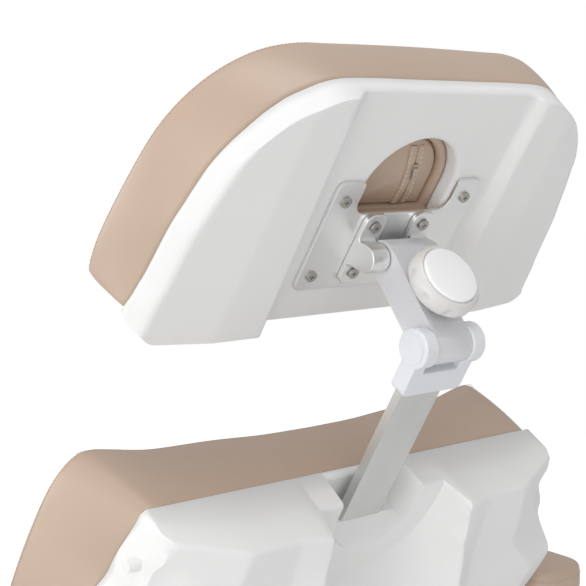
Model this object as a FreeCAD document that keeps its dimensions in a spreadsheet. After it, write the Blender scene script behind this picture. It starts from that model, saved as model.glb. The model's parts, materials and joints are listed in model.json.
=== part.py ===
"""Podiatry chair: lifting column, reclining back, jointed headrest, folding armrests, two leg rests.

Millimetres, degrees. Origin on the floor under the column, +Z up. The sitter faces -Y, +X is the
sitter's left. The rest position has the column down and the back reclined.
"""
import FreeCAD, Part
import math
import os
import re
import Sketcher

Vector = FreeCAD.Vector
doc = FreeCAD.newDocument("podiatry_chair")
sheet = doc.addObject("Spreadsheet::Sheet", "Dims")

SIZES = {
    # Floor stand
    "foot_radius": 26, "foot_height": 14, "foot_inset": 52,
    "base_width": 520, "base_length": 620, "base_thick": 10, "base_corner": 60,
    "cover_margin": 10, "cover_height": 70, "cover_wall": 4, "cover_edge": 28,
    "inlet_width": 46, "inlet_height": 28, "inlet_depth": 24, "inlet_lip": 3, "inlet_rise": 12,
    "prong_half": 1, "prong_rise": 2.5,
    # Lifting column
    "tube_width": 140, "tube_wall": 6, "tube_height": 376, "slide_gap": 0.4, "inner_lift": 36,
    "sleeve_width": 206, "sleeve_length": 226, "sleeve_wall": 4, "sleeve_height": 308,
    "sleeve_corner": 38, "sleeve_gap": 2, "skirt_lift": 16,
    "ram_radius": 20, "cylinder_radius": 30, "cylinder_offset": 24, "pump_radius": 22,
    "pump_offset": 31, "pump_height": 90,
    # Lift head: its level above the fixed part of the column, and its thickness
    "head_level": 28, "head_thick": 10,
    # Seat
    "rail_spread": 120, "rail_width": 30, "rail_height": 40, "rail_wall": 3,
    "frame_front": 240, "frame_rear": 175, "board_thick": 14, "board_inset": 18,
    "seat_width": 560, "seat_front": 265, "seat_rear": 172, "seat_thick": 84, "seat_corner": 45,
    "tray_depth": 60, "tray_inset": 8, "tray_wall": 4, "tray_edge": 30, "tray_rear": 185,
    "bolt_radius": 6, "bolt_head": 10,
    # Recline hinge and drive
    "recline": 31.24, "hinge_y": 235, "hinge_rise": 20, "torque_radius": 16, "torque_half": 149.5,
    "pin_radius": 10, "fit": 0.05, "ear_thick": 12, "ear_radius": 18, "ear_gap": 0.5,
    "crank_reach": 42, "crank_mid": 49.7, "crank_swing": 39, "crank_thick": 6, "crank_pin": 6,
    "crank_wall": 3, "yoke_half": 8, "yoke_play": 1.6, "yoke_length": 28, "yoke_low": 16, "yoke_high": 17,
    "rod_radius": 9, "rod_tail": 228, "rod_travel": 44,
    "drive_radius": 16, "drive_front": 108, "drive_rear": 140,
    "drive_level": 22, "gear_length": 48, "gear_half": 22, "motor_radius": 18, "motor_offset": 42,
    # Backrest
    "upright_in": 95, "upright_width": 30, "upright_deep": 20, "upright_top": 440, "upright_foot": 3,
    "bar_exit": 490, "bar_plane": 50, "shell_front": 28, "shell_wall": 4, "shell_low": 32,
    "shell_top": 44, "top_half": 248, "hip_half": 284, "seat_half": 276,
    # Rear shell at its bottom, its widest part, below the bar and at its top: depth of the side,
    # place and depth of the ridge, depth of the middle
    "wide_rise": 150, "wide_drop": 100,
    "side_low": 8, "side_hip": 26, "side_back": 30, "side_top": 12,
    "ridge_low": 190, "ridge_hip": 226, "ridge_back": 232, "ridge_top": 175,
    "bend_low": 30, "bend_hip": 52, "bend_back": 56, "bend_top": 42.5,
    "rear_low": 32, "rear_hip": 56, "rear_back": 60, "rear_top": 44,
    # Backrest cushion: its section, then its rows from foot to head
    "panel_thick": 10, "panel_half": 228, "back_low": 25, "back_high": 512, "back_mid": 90,
    "bolster_half": 216, "bolster_in": 172, "back_front": 120, "bolster_front": 146,
    "back_tuck": 8, "back_swell": 6, "bolster_round": 40, "bolster_fall": 10, "back_dish": 6, "back_flat": 60,
    "foot_in": 12, "foot_front": 38, "foot_rim": 62,
    "heel_rise": 18, "heel_front": 16, "heel_rim": 36,
    "waist_out": 4, "waist_rim": 10,
    "chest_u": 307, "chest_front": 4,
    "nape_drop": 60, "nape_out": 8, "nape_rim": 4,
    "brow_drop": 14, "brow_in": 4, "brow_front": 8, "brow_rim": 14,
    "tip_in": 18, "tip_front": 26, "tip_rim": 34,
    "crest_rise": 20, "crest_in": 10, "crest_front": 72, "crest_rim": 92,
    # Notch and scoop round the bar, pegs and bar guide
    "notch_half": 53, "notch_back": 11, "scoop_in": 71, "scoop_out": 97.5, "scoop_floor": 17.5,
    "scoop_deep": 45, "scoop_end": 110, "scoop_lip": 4, "peg_radius": 6, "peg_out": 9, "peg_rise": 4,
    "guide_half": 33, "guide_front": 4, "guide_low": 90, "guide_high": 6,
    # Headrest bar, fork and tilt arm
    "bar_width": 50, "bar_thick": 10, "bar_gap": 0.3, "bar_tail": 170, "bar_show": 154.3,
    "bar_socket": 24, "fork_pivot": 213.1, "fork_half": 37, "fork_radius": 18.4, "fork_gap": 22,
    "fork_set": 2.5, "fork_pin": 6, "cap_radius": 13.5, "cap_thick": 2.5, "cap_sunk": 1,
    "arm_lean": -37.69, "arm_length": 95, "arm_width": 43, "arm_radius": 16.5, "arm_clear": 0.8,
    "knob_up": 44.9, "knob_base": 20.5, "knob_thick": 25.5, "knob_radius": 35.5, "dent_radius": 10,
    "dent_out": 42.5, "dent_count": 8, "disc_radius": 28.4, "disc_thick": 1.5, "stud_radius": 6,
    "stud_collar": 11, "stud_deep": 10, "stud_grip": 14,
    # Headrest
    "head_lean": 34.38, "pivot_stand": 21.4, "pivot_drop": 7.9,
    "plate_half": 89, "plate_reach": 62, "plate_thick": 4, "horn_in": 62, "horn_low": 27,
    "plate_round": 8, "screw_x": 74.5, "screw_u": 42, "screw_radius": 2.5, "screw_head": 5.5,
    "screw_cap": 2.4, "screw_deep": 10, "clevis_half": 43, "clevis_low": 50, "clevis_high": 29,
    "clevis_thick": 6, "lug_in": 22, "lug_thick": 19, "lug_radius": 13,
    "lug_screw_x": 30.2, "lug_screw_high": 16, "lug_screw_low": 37, "clevis_pin": 6,
    "head_shell": 30, "channel_half": 110, "wing_step": 11, "wing_inset": 41.8, "wall_head": 4,
    "head_low": 100, "head_high": 149, "head_low_half": 246, "head_neck_half": 205,
    "head_top_half": 116, "head_neck": 81, "head_flank": 5, "shoulder_in": 50, "shoulder_drop": 15,
    "head_slope": 5, "head_corner": 30, "hole_half": 55, "hole_low": 26, "hole_apex": 108,
    "hole_square": 60, "hole_corner": 12, "collar_lift": 8, "liner_thick": 7, "liner_back": 22,
    "head_thick_soft": 60, "plug_gap": 1, "plug_back": 38, "plug_edge": 8, "plug_tuck": 4,
    "plug_front": 4, "plug_brow": 14, "plug_round": 8,
    # Armrests
    "elbow_n": 48, "elbow_u": 304, "elbow_radius": 10, "elbow_collar": 20, "blade_x": 296,
    "blade_thick": 8, "blade_front": 255, "blade_rear": 26, "blade_top": 18, "pad_width": 82,
    "pad_top": 28, "pad_thick": 55, "pad_front": 300, "pad_rear": 78, "pad_gap": 0.3,
    "pad_corner": 24, "pad_tuck": 3, "pad_base": 8, "pad_shoulder": 14, "pad_brow": 4, "pad_edge": 6,
    "pad_flat": 20, "flange_thick": 5, "flange_width": 60,
    # Leg rests
    "leg_drop": 38, "leg_x": 145, "leg_ahead": 20, "leg_pivot": 18, "knuckle_radius": 14,
    "knuckle_half": 54.5, "leg_pin": 8, "knuckle_gap": 0.5, "lug_wall": 12, "lug_reach": 16,
    "channel_width": 40, "channel_height": 24, "channel_wall": 4, "channel_length": 230,
    "slider_fit": 0.4, "slider_start": 70, "slider_end": 430, "carry_start": 250, "carry_half": 55,
    "leg_start": 38, "leg_length": 425, "leg_width": 246, "leg_tray": 18, "leg_rise": 16,
    "leg_soft": 74, "leg_corner": 48, "leg_inset": 4, "grip_radius": 14, "grip_length": 20,
    "grip_gap": 5, "grip_y": 205, "grip_stud": 4,
    # Softness shared by the cushions
    "crown": 10, "soft_inset": 26, "draw_in": 5, "bow_span": 300,
    "tuck_base": 6, "tuck_side": 1, "tuck_edge": 8,
}

for row, (name, number) in enumerate(SIZES.items(), start=1):
    sheet.set(f"A{row}", name)
    sheet.set(f"B{row}", str(number))
    sheet.setAlias(f"B{row}", name)
doc.recompute()

WORD = re.compile(r"\b[a-z][a-z_]*\b")
PARTS = []

# How far a cutting tool runs past the face that it opens
PAST = 1
WELL_PAST = 10
# Faces and edges closer than this lie at the same level
LEVEL = 0.01


def bound(text):
    """Expression text in which every size name points at its cell."""
    return WORD.sub(lambda m: "Dims." + m.group(0) if m.group(0) in SIZES else m.group(0), str(text))


def value(text):
    """Number that an expression of size names gives now."""
    return float(sheet.evalExpression(bound(text)))


def cells(*names):
    """Numbers held in the named cells."""
    return [float(sheet.get(name)) for name in names]


# Levels that several pieces share, as expressions
PLATE_TOP = "(foot_height + base_thick)"
COVER_TOP = f"({PLATE_TOP} + cover_height)"
TUBE_TOP = f"({PLATE_TOP} + tube_height)"
SLEEVE_TOP = f"({COVER_TOP} + sleeve_height)"
HEAD_LOW = f"(max({TUBE_TOP}; {SLEEVE_TOP}) + head_level)"
FRAME_LOW = f"({HEAD_LOW} + head_thick)"
FRAME_TOP = f"({FRAME_LOW} + rail_height)"
SEAT_LOW = f"({FRAME_TOP} + board_thick)"
HINGE_Z = f"({FRAME_TOP} + hinge_rise)"
DRIVE_Z = f"({FRAME_LOW} + drive_level)"
FRAME_HALF = "(rail_spread + rail_width)"
INNER_WIDTH = "(tube_width - 2 * tube_wall - 2 * slide_gap)"
SKIRT_WIDTH = "(sleeve_width + 2 * sleeve_gap + 2 * sleeve_wall)"
SKIRT_LENGTH = "(sleeve_length + 2 * sleeve_gap + 2 * sleeve_wall)"
CRANK_Y = "(hinge_y + crank_reach * sin(crank_mid - recline))"


def turn(y, z, angle):
    """Placement text: a shift in the middle plane and a lean back about the cross axis."""
    return f"placement(vector(0; {y}; {z}); rotation(vector(-1; 0; 0); {angle}))"


def frame(name, text):
    """Reference frame that pieces are placed in."""
    item = doc.addObject("App::Placement", name)
    item.setExpression("Placement", bound(text))
    doc.recompute()
    return item


back_frame = frame("back_frame", turn("hinge_y", HINGE_Z, "recline * 1 deg"))
slot_frame = frame("slot_frame", "back_frame.Placement * " + turn("bar_plane", "bar_exit", "0"))
arm_frame = frame("arm_frame", "slot_frame.Placement * " + turn(
    "fork_set - bar_thick / 2", "fork_pivot", "(arm_lean - recline) * 1 deg"))
head_frame = frame("head_frame", "arm_frame.Placement * " + turn(
    "0", "arm_length", "(head_lean - arm_lean) * 1 deg") + " * " + turn("-pivot_stand", "pivot_drop", "0"))
elbow_frame = frame("elbow_frame", "back_frame.Placement * " + turn(
    "elbow_n", "elbow_u", "-recline * 1 deg"))
leg_frame = frame("leg_frame", turn(
    "-(frame_front + leg_ahead)", f"({FRAME_LOW} + leg_pivot)", "-leg_drop * 1 deg"))


def box(name, xs, ys, zs):
    """Block between two limits on each axis."""
    item = doc.addObject("Part::Box", name)
    for side, axis, (low, high) in zip(("Length", "Width", "Height"), "xyz", (xs, ys, zs)):
        item.setExpression(side, bound(f"({high}) - ({low})"))
        item.setExpression(f"Placement.Base.{axis}", bound(low))
    return item


def rod(name, axis, radius, low, high, first, second):
    """Round bar along an axis between two limits; first and second place it on the other two axes."""
    item = doc.addObject("Part::Cylinder", name)
    item.setExpression("Radius", bound(radius))
    item.setExpression("Height", bound(f"({high}) - ({low})"))
    spin = {"x": (Vector(0, 1, 0), 90), "y": (Vector(1, 0, 0), -90), "z": (Vector(0, 0, 1), 0)}[axis]
    item.Placement = FreeCAD.Placement(Vector(), FreeCAD.Rotation(*spin))
    others = [letter for letter in "xyz" if letter != axis]
    for letter, text in zip([axis, *others], (low, first, second)):
        item.setExpression(f"Placement.Base.{letter}", bound(text))
    return item


def fuse(name, *items):
    """Pieces welded or moulded as one."""
    item = doc.addObject("Part::MultiFuse", name)
    item.Shapes = list(items)
    return item


def group(name, *items):
    """Separate solids kept in one node."""
    item = doc.addObject("Part::Compound", name)
    item.Links = list(items)
    return item


def cut(name, base, *tools):
    """Base less its tools."""
    item = doc.addObject("Part::Cut", name)
    item.Base = base
    item.Tool = tools[0] if len(tools) == 1 else fuse(name + "_tools", *tools)
    return item


def mirrored(name, source):
    """The same piece on the sitter's right."""
    item = doc.addObject("Part::Mirroring", name)
    item.Source = source
    item.Normal = Vector(1, 0, 0)
    return item


def both(name, source):
    """A piece and its mirror image."""
    return group(name, source, mirrored(name + "_right", source))


def along(edge, axis):
    """True for a straight edge along an axis."""
    if edge.Curve.TypeId != "Part::GeomLine":
        return False
    return abs(getattr(edge.Curve.Direction, axis)) > 0.999


def rounded(name, base, radius, keep):
    """Base with the chosen edges rounded."""
    doc.recompute()
    item = doc.addObject("Part::Fillet", name)
    item.Base = base
    item.Edges = [(i, radius, radius) for i, edge in enumerate(base.Shape.Edges, start=1) if keep(edge)]
    return item


def node(item, label, place=None):
    """Names a finished piece and puts it in its frame."""
    if place is not None:
        if item.TypeId in ("Part::Box", "Part::Cylinder"):
            item = group(label + "_piece", item)
        item.setExpression("Placement", place.Name + ".Placement")
    item.Label = label
    PARTS.append(item)
    return item


def formed(name, shape):
    """Piece whose surface is lofted, kept as one shape."""
    item = doc.addObject("Part::Feature", name)
    item.Shape = shape
    return item


def origin_plane(body, role):
    """One of a body's own origin planes."""
    return next(item for item in body.Origin.OriginFeatures if item.Role == role)


def sketch(body, name, plane, outline=(), circles=()):
    """Sketch of one straight-sided outline and any circles, each coordinate tied to the sheet."""
    item = body.newObject("Sketcher::SketchObject", name)
    item.AttachmentSupport = (origin_plane(body, plane), [""])
    item.MapMode = "FlatFace"
    points = [Vector(value(x), value(y), 0) for x, y in outline]
    for index, point in enumerate(points):
        item.addGeometry(Part.LineSegment(point, points[(index + 1) % len(points)]), False)
    for index in range(len(points)):
        item.addConstraint(Sketcher.Constraint("Coincident", index, 2, (index + 1) % len(points), 1))
    ties = [(index, 1, x, y) for index, (x, y) in enumerate(outline)]
    for x, y, radius in circles:
        centre = Vector(value(x), value(y), 0)
        index = item.addGeometry(Part.Circle(centre, Vector(0, 0, 1), value(radius)), False)
        place = item.addConstraint(Sketcher.Constraint("Radius", index, value(radius)))
        item.setExpression(f"Constraints[{place}]", bound(radius))
        ties.append((index, 3, x, y))
    for index, point, x, y in ties:
        for kind, text in (("DistanceX", x), ("DistanceY", y)):
            place = item.addConstraint(Sketcher.Constraint(kind, -1, 1, index, point, value(text)))
            item.setExpression(f"Constraints[{place}]", bound(text))
    return item


def pad(body, profile, length, reverse=False):
    """Thickness given to a sketch."""
    item = body.newObject("PartDesign::Pad", profile.Name + "_pad")
    item.Profile = profile
    item.setExpression("Length", bound(length))
    item.Reversed = reverse
    return item


def pocket(body, profile, length, reverse=False):
    """Sketch sunk into a body."""
    item = body.newObject("PartDesign::Pocket", profile.Name + "_pocket")
    item.Profile = profile
    item.setExpression("Length", bound(length))
    item.Reversed = reverse
    return item


def soften(body, radius, keep):
    """Rounds the chosen edges of a body."""
    doc.recompute()
    base = body.Tip
    names = [f"Edge{i}" for i, edge in enumerate(base.Shape.Edges, start=1) if keep(edge)]
    item = body.newObject("PartDesign::Fillet", body.Name + "_round")
    item.Base = (base, names)
    item.setExpression("Radius", bound(radius))
    return item


def oblong(half_x, half_y):
    """Rectangle outline about the origin."""
    return [(f"-{half_x}", f"-{half_y}"), (half_x, f"-{half_y}"), (half_x, half_y), (f"-{half_x}", half_y)]


# Soft outlines

# Most of a side that a corner may take, and where along a cushion's height its side begins and ends
CORNER_SHARE = 0.3
SIDE_START = 0.15
SIDE_END = 0.7


def inset(points, gap):
    """Polygon with every side moved inwards by a gap; points run anticlockwise."""
    lines = []
    for index, (x, y) in enumerate(points):
        to_x, to_y = points[(index + 1) % len(points)]
        length = math.hypot(to_x - x, to_y - y)
        normal = (-(to_y - y) / length, (to_x - x) / length)
        lines.append((normal, normal[0] * x + normal[1] * y + gap))
    result = []
    for index in range(len(points)):
        (ax, ay), a = lines[index - 1]
        (bx, by), b = lines[index]
        det = ax * by - ay * bx
        result.append(((a * by - b * ay) / det, (ax * b - bx * a) / det))
    return result


def soft_wire(points, corner, bow, lift):
    """Closed outline with arc corners and sides drawn in by a bow; lift turns (x, y) into a point."""
    count = len(points)
    span = value("bow_span")
    tangents = []
    for index, (x, y) in enumerate(points):
        ends = []
        for other in (points[index - 1], points[(index + 1) % count]):
            length = math.hypot(other[0] - x, other[1] - y)
            reach = min(corner, CORNER_SHARE * length) / length
            ends.append((x + (other[0] - x) * reach, y + (other[1] - y) * reach))
        tangents.append(ends)
    edges = []
    for index, (x, y) in enumerate(points):
        before, after = tangents[index]
        middle = (0.5 * x + 0.25 * (before[0] + after[0]), 0.5 * y + 0.25 * (before[1] + after[1]))
        edges.append(Part.Arc(lift(*before), lift(*middle), lift(*after)).toShape())
        start = after
        end = tangents[(index + 1) % count][0]
        length = math.hypot(end[0] - start[0], end[1] - start[1])
        pull = bow * min(1.0, length / span)
        draw = (-(end[1] - start[1]) / length * pull, (end[0] - start[0]) / length * pull)
        half = (0.5 * (start[0] + end[0]) + draw[0], 0.5 * (start[1] + end[1]) + draw[1])
        edges.append(Part.Arc(lift(*start), lift(*half), lift(*end)).toShape())
    return Part.Wire(edges)


def pillow(points, low, high, corner, upright=True):
    """Cushion between two levels: tucked base, drawn-in sides and a crowned top."""
    rise, tuck, bow = cells("crown", "soft_inset", "draw_in")
    base, side, edge = cells("tuck_base", "tuck_side", "tuck_edge")
    height = abs(high - low)
    way = 1 if high > low else -1
    levels = ((0, base), (SIDE_START * height, 0), (SIDE_END * height, side),
              (height - rise, edge), (height - rise / 4, tuck), (height, 2.5 * tuck))
    wires = []
    for level, gap in levels:
        depth = low + way * level
        if upright:
            wires.append(soft_wire(inset(points, gap), corner, bow, lambda x, y, d=depth: Vector(x, y, d)))
        else:
            wires.append(soft_wire(inset(points, gap), corner, bow, lambda x, u, d=depth: Vector(x, d, u)))
    return Part.makeLoft(wires, True, True)


def mirror_points(points):
    """Closed symmetric outline, anticlockwise, from its right half listed from bottom to top."""
    return points + [(-x, y) for x, y in reversed(points)]


# Floor stand

def make_stand():
    body = doc.addObject("PartDesign::Body", "base_plate_body")
    plan = sketch(body, "base_plate_plan", "XY_Plane", oblong("base_width / 2", "base_length / 2"))
    pad(body, plan, "base_thick")
    soften(body, "base_corner", lambda edge: along(edge, "z"))
    body.setExpression("Placement.Base.z", bound("foot_height"))
    node(body, "base_plate")

    feet = []
    for index, (side, end) in enumerate(((1, 1), (1, -1), (-1, 1), (-1, -1))):
        x = f"{side} * (base_width / 2 - foot_inset)"
        y = f"{end} * (base_length / 2 - foot_inset)"
        feet.append(rod(f"foot_{index}", "z", "foot_radius", "0", "foot_height", x, y))
    node(group("feet", *feet), "levelling_feet")

    half_x = "(base_width / 2 - cover_margin)"
    half_y = "(base_length / 2 - cover_margin)"
    block = box("cover_block", (f"-{half_x}", half_x), (f"-{half_y}", half_y), (PLATE_TOP, COVER_TOP))
    corner, edge_radius, top = value("base_corner"), value("cover_edge"), value(COVER_TOP)
    posts = rounded("cover_posts", block, corner, lambda edge: along(edge, "z"))
    skin = rounded("cover_skin", posts, edge_radius,
                   lambda edge: all(abs(v.Point.z - top) < LEVEL for v in edge.Vertexes))
    hollow = box("cover_hollow_block", (f"-{half_x} + cover_wall", f"{half_x} - cover_wall"),
                 (f"-{half_y} + cover_wall", f"{half_y} - cover_wall"),
                 (f"{PLATE_TOP} - {PAST}", f"{COVER_TOP} - cover_wall"))
    hollow_posts = rounded("cover_hollow_posts", hollow, corner - value("cover_wall"),
                           lambda edge: along(edge, "z"))
    inner_top = top - value("cover_wall")
    hollow_skin = rounded("cover_hollow", hollow_posts, edge_radius - value("cover_wall"),
                          lambda edge: all(abs(v.Point.z - inner_top) < LEVEL for v in edge.Vertexes))
    post_half = "(tube_width / 2 + slide_gap)"
    post_hole = box("cover_post_hole", (f"-{post_half}", post_half), (f"-{post_half}", post_half),
                    (PLATE_TOP, f"{COVER_TOP} + {PAST}"))
    inlet_low = f"({PLATE_TOP} + inlet_rise)"
    inlet_hole = box("cover_inlet_hole", ("-inlet_width / 2", "inlet_width / 2"),
                     (f"{half_y} - cover_wall - {PAST}", f"{half_y} + {PAST}"),
                     (inlet_low, f"{inlet_low} + inlet_height"))
    node(cut("cover", skin, hollow_skin, post_hole, inlet_hole), "base_cover")

    body_y = (f"{half_y} - inlet_depth", half_y)
    case = box("inlet_case", ("-inlet_width / 2", "inlet_width / 2"), body_y,
               (inlet_low, f"{inlet_low} + inlet_height"))
    lip = box("inlet_flange", ("-inlet_width / 2 - inlet_lip", "inlet_width / 2 + inlet_lip"),
              (half_y, f"{half_y} + inlet_lip"),
              (f"{inlet_low} - inlet_lip", f"{inlet_low} + inlet_height + inlet_lip"))
    well = box("inlet_well", ("-inlet_width / 2 + 2 * inlet_lip", "inlet_width / 2 - 2 * inlet_lip"),
               (f"{half_y} - inlet_depth + inlet_lip", f"{half_y} + inlet_lip + {PAST}"),
               (f"{inlet_low} + 2 * inlet_lip", f"{inlet_low} + inlet_height - 2 * inlet_lip"))
    shell = cut("inlet_shell", fuse("inlet_solid", case, lip), well)
    inlet_mid = f"({inlet_low} + inlet_height / 2)"
    prongs = []
    for index, x in enumerate(("-inlet_width / 5", "0", "inlet_width / 5")):
        prongs.append(box(f"inlet_prong_{index}", (f"{x} - prong_half", f"{x} + prong_half"),
                          (f"{half_y} - inlet_depth + inlet_lip / 2", f"{half_y} - 2 * inlet_lip"),
                          (f"{inlet_mid} - prong_rise", f"{inlet_mid} + prong_rise")))
    node(fuse("inlet", shell, *prongs), "mains_inlet")


def square_tube(name, width, length, wall, low, high, corner):
    """Upright hollow post about the column axis, with rounded corners where asked."""
    outer = box(name + "_outer", (f"-{width} / 2", f"{width} / 2"), (f"-{length} / 2", f"{length} / 2"),
                (low, high))
    inner = box(name + "_inner", (f"-{width} / 2 + {wall}", f"{width} / 2 - {wall}"),
                (f"-{length} / 2 + {wall}", f"{length} / 2 - {wall}"), (f"{low} - {PAST}", f"{high} + {PAST}"))
    if corner:
        outer = rounded(name + "_outer_round", outer, corner, lambda edge: along(edge, "z"))
        inner = rounded(name + "_inner_round", inner, corner - value(wall), lambda edge: along(edge, "z"))
    return cut(name, outer, inner)


def make_column():
    node(square_tube("outer_post", "tube_width", "tube_width", "tube_wall", PLATE_TOP, TUBE_TOP, 0),
         "column_outer_tube")
    node(square_tube("inner_post", INNER_WIDTH, INNER_WIDTH, "tube_wall",
                     f"({PLATE_TOP} + inner_lift)", HEAD_LOW, 0), "column_inner_tube")
    corner, wall, gap = cells("sleeve_corner", "sleeve_wall", "sleeve_gap")
    node(square_tube("sleeve", "sleeve_width", "sleeve_length", "sleeve_wall", COVER_TOP,
                     SLEEVE_TOP, corner), "column_cover_lower")
    node(square_tube("skirt", SKIRT_WIDTH, SKIRT_LENGTH, "sleeve_wall", f"({COVER_TOP} + skirt_lift)",
                     HEAD_LOW, corner + gap + wall), "column_cover_upper")

    floor = f"({PLATE_TOP} + tube_wall)"
    barrel = rod("lift_barrel", "z", "cylinder_radius", PLATE_TOP, TUBE_TOP, "-cylinder_offset", "0")
    bore = rod("lift_bore", "z", "ram_radius + fit", floor, f"{TUBE_TOP} + {PAST}", "-cylinder_offset", "0")
    pump = rod("lift_pump", "z", "pump_radius", PLATE_TOP, f"{PLATE_TOP} + pump_height", "pump_offset", "0")
    link = box("lift_link", ("-cylinder_offset", "pump_offset"), ("-pump_radius / 2", "pump_radius / 2"),
               (PLATE_TOP, f"{PLATE_TOP} + pump_radius"))
    node(cut("lift_drive", fuse("lift_solid", barrel, pump, link), bore), "lift_actuator")
    node(rod("ram", "z", "ram_radius", f"({PLATE_TOP} + inner_lift)", HEAD_LOW, "-cylinder_offset", "0"),
         "lift_ram")


# Seat

def hollow_rail(name, xs, ys, zs, axis):
    """Rectangular tube, open at both ends along an axis."""
    limits = {"x": xs, "y": ys, "z": zs}
    inner = {}
    for letter, (low, high) in limits.items():
        step = "-1" if letter == axis else "rail_wall"
        inner[letter] = (f"{low} + {step}", f"{high} - {step}")
    return cut(name, box(name + "_out", xs, ys, zs),
               box(name + "_in", inner["x"], inner["y"], inner["z"]))


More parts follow.
